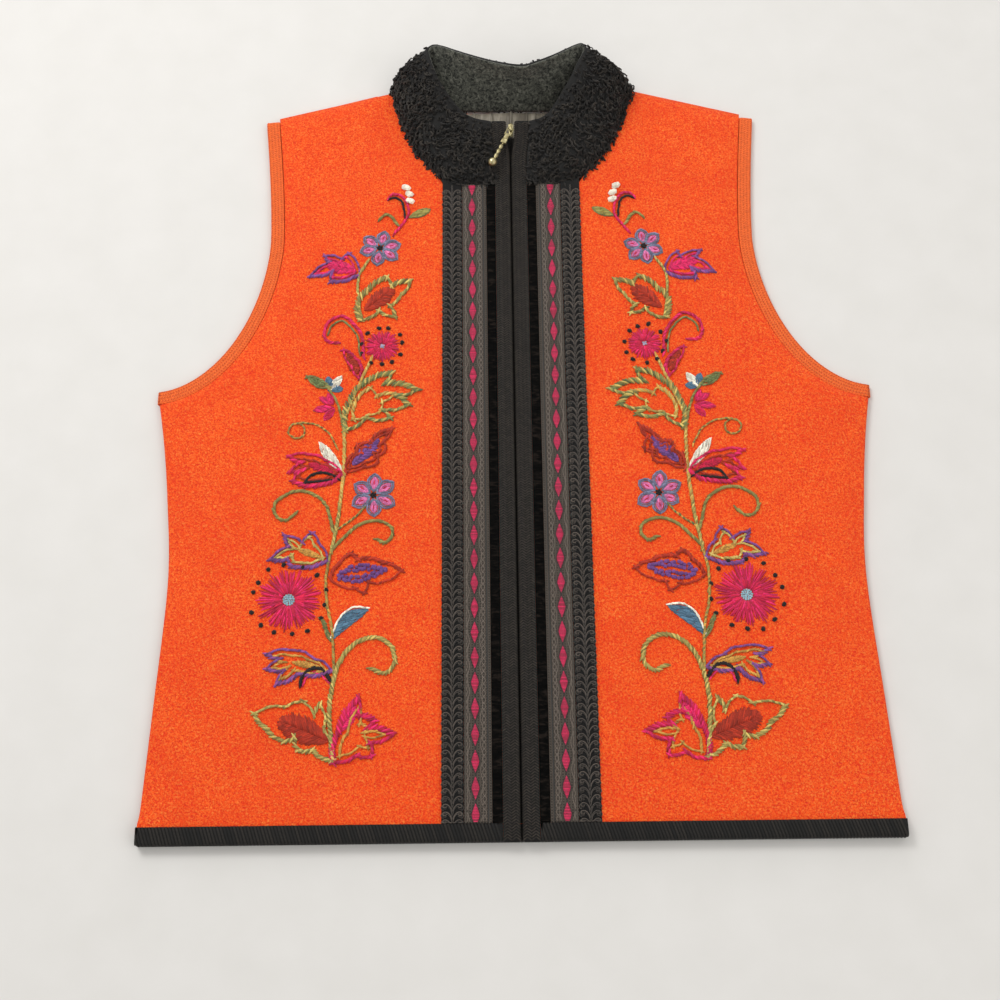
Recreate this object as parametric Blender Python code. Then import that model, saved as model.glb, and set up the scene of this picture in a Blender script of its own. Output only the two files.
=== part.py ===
"""An embroidered boiled-wool vest with a pile collar and a zip, laid flat on its back.

The pieces are drawn in the pattern's own millimetres: x runs across from the centre front (plus is the
wearer's left), y runs from the hem to the neck, and z rises from the surface that the vest lies on. Each
piece of cloth is a closed slab with an upper and a lower skin. The finished pieces are moved together, so
that the vest's box is centred on the origin with its underside at zero height.
"""

import math

import bmesh
import bpy
import numpy as np
from mathutils import Matrix, Vector

# Lengths are in millimetres until a mesh is written in metres
MM = 0.001
GAP = 0.3

# Cloth thicknesses
WOOL = 2.4
WOOL_BOUND = 1.6
BAND_KNIT = 1.8
BINDING_WALL = 1.0
FLEECE = 1.6
PILE = 4.3
RIBBON = 1.0
GIMP = 1.8
SATIN = 0.8
TAPE = 0.7

# Body outline, from the hem to the underarm: along, half width of the side seam
SIDE = [
    (0.0, 248.5),
    (88.0, 244.0),
    (178.0, 240.0),
    (238.0, 244.5),
    (282.0, 250.0),
    (322.0, 257.0),
]
UNDERARM_X = 257.0
UNDERARM_Y = 322.0

# Armhole: a hollow curve from the underarm to its narrowest point, then a slight flare to the shoulder
ARM_NARROW_X = 181.0
ARM_NARROW_Y = 445.0
ARM_POWER = 3.33
ARM_FLARE = 8.0
ARM_FLARE_POWER = 1.5
SHOULDER_TIP_X = 189.0
SHOULDER_TIP_Y = 552.0
BAND_WIDTH = 10.0
BAND_SEAM = 1.0

# Neck: the shoulder's inner end, and the line of the neck in front and behind: across, along
NECK_X = 95.0
NECK_Y = 578.0
NECKLINE = [
    (52.0, 490.8),
    (58.6, 502.3),
    (71.0, 518.8),
    (81.0, 539.4),
    (87.8, 560.6),
    (93.0, 577.6),
]
BACK_NECK_Y = 559.0
BACK_NECK = [(0.0, BACK_NECK_Y), (34.0, 558.4), (64.0, 565.0)]
BACK_NECK_INSET = (4.6, 3.0)
NECK_LEAN = 2.5

# Trims beside the centre front: inner edge and outer edge of each, from the centre line
BINDING_INNER = 0.5
BINDING_OUTER = 12.0
VELVET = (12.3, 18.5)
WOVEN = (18.8, 36.5)
GIMP_EDGES = (37.8, 51.8)
TRIM_ZONE = 52.0
TRIM_LOW_Y = 11.9
TRIM_HIGH_Y = 487.8
HEM_WIDTH = 11.5
HEM_ROWS = [2.3, 12.2, 14.6]
WOOL_FROM_Y = 32.0
TRIM_COLUMNS = [2.3, 12.2, 14.6, 37.0]
HEM_HOLD = 0.9
SEAM_HOLD = 0.4

# Heights of the laid garment
FRONT_LIFT = 5.1
CREST = 7.4
RIPPLE = 0.5
RIPPLE_LENGTH = 170.0
RIPPLE_FROM = 20.0
RIPPLE_TO = 430.0
RIPPLE_EASE = 60.0
RIPPLE_START = 30.0
LOFT_REACH = 50.0
HEM_REACH = 30.0
EDGE_REACH = 16.0
EDGE_EASE = 12.0
SHOULDER_REACH = 18.0
DROP_SIDE = 1.9
DROP_ARM = 1.0
DROP_SHOULDER = 1.7
DROP_EASE = 6.0
NECK_RISE = 2.0
COLLAR_RISE = 6.0
COLLAR_SWELL = 1.2
RISE_LENGTH = 60.0
COLLAR_SEAM_Y = 490.0
COLLAR_TOP_Y = 541.0
NOTCH_FROM = 508.0
NOTCH_FULL = 529.0
NOTCH = 2.3

# Soft swells and troughs of the fronts: side, across, along, reach across, reach along, turn in degrees, lift
SWELLS = [
    (1, 150.0, 120.0, 70.0, 60.0, 10.0, 1.1),
    (1, 205.0, 230.0, 26.0, 90.0, -8.0, 0.9),
    (1, 120.0, 300.0, 60.0, 34.0, 24.0, -0.9),
    (1, 128.0, 410.0, 30.0, 80.0, -14.0, 1.2),
    (1, 196.0, 292.0, 46.0, 14.0, 32.0, 0.9),
    (1, 90.0, 200.0, 30.0, 70.0, 6.0, -0.6),
    (-1, 140.0, 100.0, 80.0, 48.0, -12.0, 0.9),
    (-1, 200.0, 205.0, 30.0, 84.0, 9.0, 1.2),
    (-1, 130.0, 285.0, 70.0, 30.0, -20.0, -0.8),
    (-1, 122.0, 420.0, 34.0, 70.0, 12.0, 1.1),
    (-1, 190.0, 300.0, 50.0, 13.0, -28.0, 1.0),
    (-1, 92.0, 170.0, 28.0, 80.0, -5.0, -0.6),
]
FIELD_LOFT = 1.7

# Collar stations on the side of plus x, from the centre front round to the centre back
COLLAR_COLUMNS = ("base_x", "base_y", "base_z", "rim_x", "rim_y", "rim_z", "bulge", "foot_z", "lean", "rim_shift")
COLLAR = [
    (2.3, 491.8, 8.6, 2.3, 541.0, 14.6, 1.2, 9.8, 0.0, 0.0),
    (12.3, 491.8, 8.6, 12.3, 541.0, 14.6, 1.2, 9.8, 0.0, 0.0),
    (24.0, 491.8, 8.6, 19.0, 541.6, 15.3, 1.6, 9.8, 0.0, -0.6),
    (37.0, 492.2, 8.6, 25.3, 542.6, 16.5, 2.0, 9.8, 0.0, -1.5),
    (49.6, 495.9, 8.8, 31.7, 545.4, 18.3, 2.6, 9.6, 0.1, -2.6),
    (57.8, 503.4, 8.5, 36.8, 550.0, 20.5, 3.2, 9.2, 0.2, -3.4),
    (69.9, 519.4, 7.7, 43.2, 558.6, 24.5, 3.8, 8.4, 0.4, -4.0),
    (79.7, 539.9, 6.6, 49.4, 568.8, 29.0, 4.2, 7.3, 0.6, -4.0),
    (86.6, 561.0, 5.4, 54.0, 578.6, 32.5, 4.4, 6.0, 0.8, -3.7),
    (90.0, 570.8, 4.8, 56.5, 584.6, 33.8, 4.4, 5.2, 0.9, -3.2),
    (91.2, 577.0, 4.1, 58.2, 588.6, 34.8, 4.2, 3.8, 1.0, -2.6),
    (86.0, 576.4, 3.4, 59.2, 592.6, 35.7, 3.6, 1.6, 1.0, -2.0),
    (78.0, 572.0, 2.9, 57.2, 595.8, 36.7, 3.0, 0.6, 1.0, -1.3),
    (70.0, 568.3, 2.6, 51.8, 594.2, 38.2, 2.6, 0.3, 1.0, -0.4),
    (55.0, 563.7, 2.6, 43.2, 588.8, 39.8, 2.6, 0.3, 1.0, 0.9),
    (38.0, 560.6, 2.6, 30.1, 581.8, 41.0, 2.6, 0.3, 1.0, 3.1),
    (19.0, 559.7, 2.6, 15.2, 575.4, 41.8, 2.8, 0.3, 1.0, 5.6),
    (0.0, 560.0, 2.6, 0.0, 571.8, 42.0, 3.0, 0.3, 1.0, 8.6),
]
COLLAR_ROWS = 7
PILE_FOOT = 3.6
PILE_EDGE = 2.5
PILE_BUMP = 0.7

# Satin lining that shows in the neck: pleat centres across, and each pleat's half width and height
PLEATS = (-52.0, -46.0, -41.0, -36.0, -27.0, -14.0, 1.0, 13.0, 19.0, 26.0, 33.0, 40.0, 48.0)
PLEAT_HALF = 1.5
PLEAT_HEIGHT = 1.0
LINING_HALF = 62.0
LINING_LOW_Y = 506.0

# Zip: slider between the bindings at the collar's top, and the charm that hangs on its bridge
SLIDER_X = 0.5
SLIDER_LOW_Y = 529.5
SLIDER_LENGTH = 9.0
SLIDER_HALF = 2.1
SLIDER_NOSE = 4.0
SLIDER_BASE_Z = 12.5
SLIDER_TOP_Z = 16.7
BRIDGE_HALF = 0.9
BRIDGE_LEG = 1.0
BRIDGE_WALL = 0.8
CHAIN_LOW_Y = 12.6
CHAIN_DROP = 2.1
CHAIN_HALF = 1.7
TEETH_HALF = 1.0
TEETH_LIFT = 0.6
PIN_Y = 533.4
PIN_Z = 17.8
PIN_RADIUS = 0.5
PIN_PLAY = 0.2
CHARM_YAW_DEG = 24.5
CHARM_TILT_DEG = 4.5
LOOP_HALF = 2.7
LOOP_INNER = 2.0
LOOP_ROUND = 0.6
LOOP_NEAR = 5.0
LOOP_FAR = 6.6
BLOCK_END = 15.0
BLOCK_NARROW = 1.6
BLOCK_WIDE = 2.3
BLOCK_HALF = 1.05
STEM_RADIUS = 0.8
BEAD_START = 16.4
BEAD_LENGTH = 4.6
BEAD_COUNT = 3
BEAD_RADIUS = 1.75
BEAD_NECK = 1.0
BEAD_SHOULDER = 0.86
BALL_AT = 34.5
BALL_RADIUS = 3.5
CHARM_SIDES = 10

# Steps of the cloth grids
ROWS_BODY = 13
ROWS_CHEST = 9
ROWS_NECK = 5
COLUMNS_WOOL = 9
EDGE_ROUND = 2.4

SIDES = (("left", 1), ("right", -1))


def smooth(value):
    """Eases from 0 to 1 as value goes from 0 to 1."""
    held = min(max(value, 0.0), 1.0)
    return held * held * (3.0 - 2.0 * held)


def through(points, count):
    """Points spread evenly along a smooth curve through the given points."""
    given = [np.array(point, dtype=float) for point in points]
    ends = [2 * given[0] - given[1]] + given + [2 * given[-1] - given[-2]]
    steps = 12
    dense = []
    for before, start, end, after in zip(ends, ends[1:], ends[2:], ends[3:]):
        for step in range(steps):
            t = step / steps
            dense.append(
                0.5
                * (
                    2 * start
                    + (end - before) * t
                    + (2 * before - 5 * start + 4 * end - after) * t**2
                    + (3 * start - before - 3 * end + after) * t**3
                )
            )
    dense.append(given[-1])
    dense = np.array(dense)
    travelled = np.concatenate([[0.0], np.cumsum(np.linalg.norm(np.diff(dense, axis=0), axis=1))])
    wanted = np.linspace(0.0, travelled[-1], count)
    return np.array([np.interp(wanted, travelled, dense[:, axis]) for axis in range(dense.shape[1])]).T


SIDE_CURVE = through(SIDE, 60)


def side_x(along):
    """Half width of the body at a height below the underarm."""
    return float(np.interp(along, SIDE_CURVE[:, 0], SIDE_CURVE[:, 1]))


def armhole_edge(inset, count):
    """The armhole from the underarm to the shoulder, moved into the body by inset."""
    dense = []
    for step in range(61):
        angle = math.radians(1.5 * step)
        x = ARM_NARROW_X + (UNDERARM_X - ARM_NARROW_X) * math.cos(angle) ** ARM_POWER
        y = UNDERARM_Y + (ARM_NARROW_Y - UNDERARM_Y) * math.sin(angle) ** ARM_POWER
        dense.append((x, y))
    for step in range(1, 21):
        part = step / 20
        x = ARM_NARROW_X + ARM_FLARE * part**ARM_FLARE_POWER
        y = ARM_NARROW_Y + (SHOULDER_TIP_Y - ARM_NARROW_Y) * part
        dense.append((x, y))
    even = through(dense, 160)
    ahead = np.gradient(even, axis=0)
    ahead /= np.linalg.norm(ahead, axis=1)[:, None]
    inward = np.stack([-ahead[:, 1], ahead[:, 0]], axis=1)
    return through(even + inset * inward, count)


def shoulder_y(across):
    """Height of the shoulder seam at a distance from the centre line."""
    slope = (SHOULDER_TIP_Y - NECK_Y) / (SHOULDER_TIP_X - NECK_X)
    return NECK_Y + slope * (across - NECK_X)


def rise(along):
    """How far the centre front lifts towards the top of the collar."""
    if along <= COLLAR_SEAM_Y:
        return NECK_RISE * smooth((along - COLLAR_SEAM_Y + RISE_LENGTH) / RISE_LENGTH)
    part = (along - COLLAR_SEAM_Y) / (COLLAR_TOP_Y - COLLAR_SEAM_Y)
    return NECK_RISE + COLLAR_RISE * part + COLLAR_SWELL * math.sin(math.pi * min(part, 1.0))


def crest(along):
    """Height of the wool's face in the strip that the trims lie on."""
    window = smooth((along - RIPPLE_FROM) / RIPPLE_EASE) * smooth((RIPPLE_TO - along) / RIPPLE_EASE)
    wave = math.sin(math.tau * (along - RIPPLE_START) / RIPPLE_LENGTH)
    return CREST + rise(along) + RIPPLE * window * wave


def notch(along):
    """How far each front edge turns away from the centre line round the slider."""
    return NOTCH * smooth((along - NOTCH_FROM) / (NOTCH_FULL - NOTCH_FROM))


def swell(side, across, along):
    """Sum of the soft swells and troughs at one place on a front."""
    total = 0.0
    for row_side, centre_x, centre_y, reach_x, reach_y, turn_deg, lift in SWELLS:
        if row_side != side:
            continue
        turn = math.radians(turn_deg)
        dx = across - centre_x
        dy = along - centre_y
        u = (dx * math.cos(turn) + dy * math.sin(turn)) / reach_x
        v = (dy * math.cos(turn) - dx * math.sin(turn)) / reach_y
        total += lift * math.exp(-(u * u + v * v))
    return total


def material(name, colour, roughness, metallic=0.0):
    """A Principled material, made once for each name."""
    made = bpy.data.materials.new(name)
    made.use_nodes = True
    shader = made.node_tree.nodes["Principled BSDF"]
    shader.inputs["Base Color"].default_value = (*colour, 1.0)
    shader.inputs["Roughness"].default_value = roughness
    shader.inputs["Metallic"].default_value = metallic
    made.diffuse_color = (*colour, 1.0)
    return made


def place(name, mesh, finish):
    """Puts a mesh in the scene as a named object with one material and smooth faces."""
    mesh.materials.append(finish)
    mesh.shade_smooth()
    mesh.set_sharp_from_angle(angle=math.radians(40.0))
    made = bpy.data.objects.new(name, mesh)
    bpy.context.scene.collection.objects.link(made)
    return made


def mesh_from(name, points, faces):
    """A mesh in metres from points in millimetres, with its faces turned outwards."""
    mesh = bpy.data.meshes.new(name)
    mesh.from_pydata([tuple(coordinate * MM for coordinate in point) for point in points], [], faces)
    work = bmesh.new()
    work.from_mesh(mesh)
    bmesh.ops.recalc_face_normals(work, faces=work.faces)
    bmesh.ops.triangulate(work, faces=work.faces)
    work.to_mesh(mesh)
    work.free()
    return mesh


def slab(name, upper, lower, faces, finish):
    """A closed slab: the same faces over the upper and the lower points, and a wall round the edge."""
    count = len(upper)
    edges = {}
    for face in faces:
        for start, end in zip(face, face[1:] + face[:1]):
            edges[(start, end)] = True
    walls = []
    for start, end in edges:
        if (end, start) not in edges:
            walls.append((end, start, start + count, end + count))
    under = [tuple(index + count for index in reversed(face)) for face in faces]
    return place(name, mesh_from(name, list(upper) + list(lower), faces + under + walls), finish)


def grid_faces(rows, columns, first=0):
    """Quads over a grid of points that are stored row by row."""
    faces = []
    for row in range(rows - 1):
        for column in range(columns - 1):
            corner = first + row * columns + column
            faces.append((corner, corner + 1, corner + columns + 1, corner + columns))
    return faces


def sweep(name, rings, closed, finish):
    """A closed solid through rings of points, with both ends filled unless the path is closed."""
    size = len(rings[0])
    points = [point for ring in rings for point in ring]
    faces = []
    turns = len(rings) if closed else len(rings) - 1
    for turn in range(turns):
        near = turn * size
        far = ((turn + 1) % len(rings)) * size
        for corner in range(size):
            following = (corner + 1) % size
            faces.append((near + corner, near + following, far + following, far + corner))
    if not closed:
        faces.append(tuple(reversed(range(size))))
        faces.append(tuple((len(rings) - 1) * size + corner for corner in range(size)))
    return place(name, mesh_from(name, points, faces), finish)


def body_rows():
    """Heights of the rows from the hem to the underarm: three in the bound edge, then even ones."""
    top = UNDERARM_Y - BAND_WIDTH - BAND_SEAM
    return HEM_ROWS + list(np.linspace(WOOL_FROM_Y, top, ROWS_BODY))


def outer_edge():
    """Points of a panel's outer edge, row by row: the side seam, then the armhole up to the shoulder."""
    side = [(side_x(along), along) for along in body_rows()]
    seam = armhole_edge(BAND_WIDTH + BAND_SEAM, 120)
    seam = [point for point in seam if point[0] < side[-1][0] - 4.0]
    seam[-1] = (seam[-1][0], shoulder_y(seam[-1][0]) - 0.2)
    climb = through([side[-1]] + [tuple(point) for point in seam], ROWS_CHEST + ROWS_NECK + 1)
    return side + [tuple(point) for point in climb[1:]]


def front_inner_edge(side):
    """Inner edge of the wool that lies outside the trims: straight up, then along the neckline."""
    rows = body_rows()
    straight = [(TRIM_ZONE, along) for along in rows]
    chest = np.linspace(rows[-1], COLLAR_SEAM_Y + 0.8, ROWS_CHEST + 1)[1:]
    straight += [(TRIM_ZONE, along) for along in chest]
    neck = through(NECKLINE, ROWS_NECK + 1)[1:]
    leaned = []
    for step, (across, along) in enumerate(neck, start=1):
        leaned.append((across + side * NECK_LEAN * step / ROWS_NECK, along))
    return straight + leaned


def front_height(side, across, along, from_inner, from_outer, inner_height):
    """Height of the wool's face over the lowest it lies, at one point outside the trims."""
    field = FIELD_LOFT + swell(side, across, along)
    near = 1.0 - smooth(from_inner / LOFT_REACH)
    height = inner_height * near + field * (1.0 - near)
    above_hem = smooth((along - HEM_WIDTH) / HEM_REACH)
    height = (CREST - FRONT_LIFT) * (1.0 - above_hem) + height * above_hem
    dropped = (1.0 - smooth(from_outer / EDGE_REACH)) * smooth((along - HEM_WIDTH - 1.0) / EDGE_EASE)
    height *= 1.0 - dropped
    return height * smooth((shoulder_y(across) - along) / SHOULDER_REACH)


def edge_drop(distance, depth):
    """Rounding of a face down towards an edge."""
    if distance >= EDGE_ROUND:
        return 0.0
    return depth * (1.0 - math.sqrt(1.0 - (1.0 - distance / EDGE_ROUND) ** 2))


def bound_thickness(across, along):
    """Wool is pressed thinner where a folded binding holds it."""
    held = across < BINDING_OUTER + SEAM_HOLD or along < HEM_WIDTH + HEM_HOLD
    return WOOL_BOUND if held else WOOL


def front_panel(name, side, finish):
    """One front of boiled wool, from the centre front to the side seam, armhole and shoulder."""
    outer = outer_edge()
    inner = front_inner_edge(side)
    rows_to_neck = len(body_rows()) + ROWS_CHEST
    edge_steps = [EDGE_ROUND, 0.8, 0.0]
    upper = []
    lower = []
    index = {}

    def add(key, across, along, face, thickness, drop):
        index[key] = len(upper)
        floor = WOOL + GAP
        upper.append((side * across, along, face - drop))
        lower.append((side * across, along, max(face - thickness, floor)))

    for row in range(len(outer)):
        if row < rows_to_neck:
            along = inner[row][1]
            for column, across in enumerate(TRIM_COLUMNS):
                turned = across + notch(along)
                add((row, column), turned, along, crest(along), bound_thickness(across, along), 0.0)
        start = np.array(inner[row])
        end = np.array(outer[row])
        length = float(np.linalg.norm(end - start))
        run = list(np.linspace(0.0, length - EDGE_ROUND, COLUMNS_WOOL))[:-1]
        run += [length - step for step in edge_steps]
        if row < rows_to_neck:
            inner_height = crest(inner[row][1]) - FRONT_LIFT
        else:
            climbed = (row - rows_to_neck + 1) / ROWS_NECK
            inner_height = (CREST + NECK_RISE - FRONT_LIFT) * (1.0 - smooth(climbed))
        on_side = row < len(body_rows())
        on_shoulder = row == len(outer) - 1
        for column, travelled in enumerate(run):
            across, along = start + (end - start) * travelled / length
            from_outer = length - travelled
            height = front_height(side, across, along, travelled, from_outer, inner_height)
            if row < rows_to_neck and travelled == 0.0:
                height = crest(along) - FRONT_LIFT
            drop = edge_drop(from_outer, DROP_SIDE if on_side else DROP_ARM)
            drop *= smooth((along - HEM_WIDTH - 1.0) / DROP_EASE)
            if on_shoulder:
                drop = max(drop, DROP_SHOULDER)
            thickness = bound_thickness(across, along)
            add((row, len(TRIM_COLUMNS) + column), across, along, FRONT_LIFT + height, thickness, drop)
    faces = []
    wide = len(TRIM_COLUMNS) + len(run)
    for row in range(len(outer) - 1):
        for column in range(wide - 1):
            keys = [(row, column), (row, column + 1), (row + 1, column + 1), (row + 1, column)]
            if all(key in index for key in keys):
                corners = tuple(index[key] for key in keys)
                faces.append(corners if side > 0 else tuple(reversed(corners)))
    return slab(name, upper, lower, faces, finish)


def back_panel(name, finish):
    """The back of boiled wool, one piece from side to side, flat on the surface."""
    outer = outer_edge()
    low = len(body_rows())
    count = len(outer)
    centre_top = BACK_NECK_Y
    climb = np.linspace(body_rows()[-1], centre_top, count - low + 1)[1:]
    centre = [(0.0, along) for along in body_rows()] + [(0.0, along) for along in climb]
    tip = np.array(outer[-1])
    neck_share = 0.53
    neck_end = (NECK_X - BACK_NECK_INSET[0], NECK_Y - BACK_NECK_INSET[1])
    neck_curve = through(BACK_NECK + [neck_end], 40)
    shares = [0.0, 0.11, 0.22, 0.33, 0.43, neck_share, 0.66, 0.8, 0.92, 1.0]

    def top_point(share, side):
        if share <= neck_share:
            spot = neck_curve[int(round(share / neck_share * (len(neck_curve) - 1)))]
            lean = side * NECK_LEAN * share / neck_share
            return np.array([spot[0] + lean, spot[1]])
        start = np.array([neck_end[0] + side * NECK_LEAN, neck_end[1]])
        first = np.array([NECK_X + 2.0, shoulder_y(NECK_X + 2.0) - 0.2])
        part = (share - neck_share) / (1.0 - neck_share)
        along_seam = first + (tip - first) * part
        return start if part <= 0.0 else along_seam

    upper = []
    lower = []
    for row in range(count):
        inner = np.array(centre[row])
        end = np.array(outer[row])
        pull = 0.0 if row < low else ((row - low + 1) / (count - low)) ** 1.6
        line = []
        for side in (-1, 1):
            half = []
            for share in shares:
                spot = inner + (end - inner) * share
                top = top_point(share, side)
                straight = np.array(centre[-1]) + (tip - np.array(centre[-1])) * share
                spot = spot + pull * (top - straight)
                half.append((side * spot[0], spot[1]))
            line += list(reversed(half)) if side < 0 else half[1:]
        for across, along in line:
            lift = BINDING_WALL + GAP if along < HEM_WIDTH + HEM_HOLD else 0.0
            wall = WOOL_BOUND if lift else WOOL
            upper.append((across, along, lift + wall))
            lower.append((across, along, lift))
    columns = 2 * len(shares) - 1
    return slab(name, upper, lower, grid_faces(count, columns), finish)


def armhole_band(name, side, finish):
    """A knitted band round the armhole: one ring, folded flat at the underarm and at the shoulder."""
    seam_half = 0.45
    seam_run = 0.8
    front_z = 1.5 * BAND_KNIT + GAP
    back_z = 0.5 * BAND_KNIT
    turn_radius = (front_z - back_z) / 2.0
    reach = turn_radius + BAND_KNIT / 2.0
    path = armhole_edge(BAND_WIDTH / 2.0, 30)
    path = [point for point in path if point[0] < UNDERARM_X - reach - 3.0 and point[1] < SHOULDER_TIP_Y - 6.0]
    start = (UNDERARM_X - reach, UNDERARM_Y - BAND_WIDTH / 2.0)
    last = (SHOULDER_TIP_X - BAND_WIDTH / 2.0 - 0.4, SHOULDER_TIP_Y - reach)
    path = np.array([start] + [tuple(point) for point in path] + [last])
    ahead = np.gradient(path, axis=0)
    ahead[0] = (-1.0, 0.0)
    ahead[-1] = (0.08, 1.0)
    ahead /= np.linalg.norm(ahead, axis=1)[:, None]

    def ring(spot, direction, lift, height):
        across_cloth = np.array([-direction[1], direction[0], 0.0])
        normal = np.array([direction[0] * lift[0], direction[1] * lift[0], lift[1]])
        centre = np.array([spot[0], spot[1], height])
        half = BAND_WIDTH / 2.0
        thick = BAND_KNIT / 2.0
        corners = [(-half, -seam_half), (-half, seam_half), (-half + seam_run, 1.0)]
        corners += [(half, 1.0), (half, -1.0), (-half + seam_run, -1.0)]
        points = []
        for along_width, through_cloth in corners:
            point = centre + along_width * across_cloth + through_cloth * thick * normal
            points.append((side * point[0], point[1], point[2]))
        return points

    rings = [ring(spot, direction, (0.0, 1.0), front_z) for spot, direction in zip(path, ahead)]
    middle_z = (front_z + back_z) / 2.0
    for angle_deg in (45.0, 90.0, 135.0):
        angle = math.radians(angle_deg)
        outwards = math.sin(angle)
        spot = path[-1] + ahead[-1] * turn_radius * outwards
        rings.append(ring(spot, ahead[-1], (outwards, math.cos(angle)), middle_z + turn_radius * math.cos(angle)))
    for spot, direction in zip(path[::-1], ahead[::-1]):
        rings.append(ring(spot, direction, (0.0, -1.0), back_z))
    for angle_deg in (135.0, 90.0, 45.0):
        angle = math.radians(angle_deg)
        outwards = math.sin(angle)
        spot = path[0] - ahead[0] * turn_radius * outwards
        rings.append(ring(spot, ahead[0], (-outwards, math.cos(angle)), middle_z + turn_radius * math.cos(angle)))
    return sweep(name, rings, True, finish)


def fold_section(width, under_width, edge):
    """Section of a braid folded over an edge: distance from the centre line, and height from its middle."""
    outside = WOOL_BOUND / 2.0 + GAP + BINDING_WALL
    inside = WOOL_BOUND / 2.0 + GAP
    turn = outside * 0.72
    return [
        (width, outside),
        (edge + 2.5, outside),
        (edge + 0.7, turn),
        (edge, 0.0),
        (edge + 0.7, -turn),
        (edge + 2.5, -outside),
        (under_width, -outside),
        (under_width, -inside),
        (edge + 1.5, -inside),
        (edge + 1.5, inside),
        (width, inside),
    ]


def centre_rows():
    """Heights of the stations along the centre front, from the hem to the top of the collar."""
    rows = [along for along in body_rows() if along > TRIM_LOW_Y]
    chest = list(np.linspace(body_rows()[-1], COLLAR_SEAM_Y + 0.8, ROWS_CHEST + 1)[1:])
    collar = list(np.linspace(COLLAR[0][1], COLLAR_TOP_Y, COLLAR_ROWS))
    return [0.0, TRIM_LOW_Y] + rows[1:] + chest + collar + [COLLAR_TOP_Y + 0.6]


def zip_binding(name, side, finish):
    """Herringbone braid folded over a front edge, from the hem to the top of the collar."""
    section = fold_section(BINDING_OUTER, BINDING_OUTER - 1.0, BINDING_INNER)
    rings = []
    for along in centre_rows():
        middle = crest(along) - WOOL_BOUND / 2.0
        ring = [(side * (across + notch(along)), along, middle + height) for across, height in section]
        rings.append(ring if side > 0 else list(reversed(ring)))
    return sweep(name, rings, False, finish)


def hem_binding(name, start, end, middle, count, finish):
    """Braid folded over a hem edge, from one end to the other across the vest."""
    section = fold_section(HEM_WIDTH, HEM_WIDTH - 0.6, 0.0)
    rings = []
    for across in np.linspace(start, end, count):
        rings.append([(across, along, middle + height) for along, height in section])
    return sweep(name, rings, False, finish)


def trim_rows():
    """Heights of the stations of the trims, which are those of the wool under them."""
    inner = [along for along in centre_rows() if TRIM_LOW_Y < along < TRIM_HIGH_Y]
    return [TRIM_LOW_Y] + inner + [TRIM_HIGH_Y]


def flat_trim(name, side, edges, profile, finish):
    """A ribbon or braid laid on the wool beside the zip. The profile gives heights across its width."""
    inner, outer = edges
    rings = []
    for along in trim_rows():
        base = crest(along) + GAP
        width = outer - inner
        ring = [(inner, base), (outer, base)]
        ring += [(inner + width * part, base + height) for part, height in reversed(profile)]
        rings.append([(side * across, along, height) for across, height in ring])
    return sweep(name, rings, False, finish)


def collar_skin():
    """Grid of the collar's middle surface, from the left front edge round the back to the right one."""
    half = [dict(zip(COLLAR_COLUMNS, row)) for row in COLLAR]
    stations = [(1, row) for row in half] + [(-1, row) for row in reversed(half[:-1])]
    skin = np.zeros((len(stations), COLLAR_ROWS, 3))
    for number, (side, row) in enumerate(stations):
        base = np.array([side * row["base_x"] + NECK_LEAN * row["lean"], row["base_y"], row["base_z"]])
        rim = np.array([side * row["rim_x"] + row["rim_shift"], row["rim_y"], row["rim_z"]])
        for step in range(COLLAR_ROWS):
            skin[number, step] = base + (rim - base) * step / (COLLAR_ROWS - 1)
    normals = surface_normals(skin)
    for number, (side, row) in enumerate(stations):
        middle = normals[number, COLLAR_ROWS // 2]
        for step in range(COLLAR_ROWS):
            part = step / (COLLAR_ROWS - 1)
            skin[number, step] += row["bulge"] * math.sin(math.pi * part) * middle
            if row["rim_x"] < 13.0 and row["base_y"] < COLLAR_SEAM_Y + 5.0:
                along = COLLAR[0][1] + (COLLAR_TOP_Y - COLLAR[0][1]) * part
                turned = side * (row["base_x"] + notch(along))
                skin[number, step] = (turned, along, crest(along) - WOOL_BOUND / 2.0)
    return stations, skin


def surface_normals(skin):
    """Outward unit normals of a grid of points, from its neighbours along and across."""
    round_way = np.gradient(skin, axis=0)
    up_way = np.gradient(skin, axis=1)
    normals = np.cross(round_way, up_way)
    return normals / np.linalg.norm(normals, axis=2)[:, :, None]


def collar_facing(name, finish):
    """Fleece facing inside the collar, from one front edge round to the other."""
    _, skin = collar_skin()
    normals = surface_normals(skin)
    outer = (skin + normals * FLEECE / 2.0).reshape(-1, 3)
    inner = (skin - normals * FLEECE / 2.0).reshape(-1, 3)
    faces = [tuple(reversed(face)) for face in grid_faces(len(skin), COLLAR_ROWS)]
    return slab(name, [tuple(point) for point in outer], [tuple(point) for point in inner], faces, finish)


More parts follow.
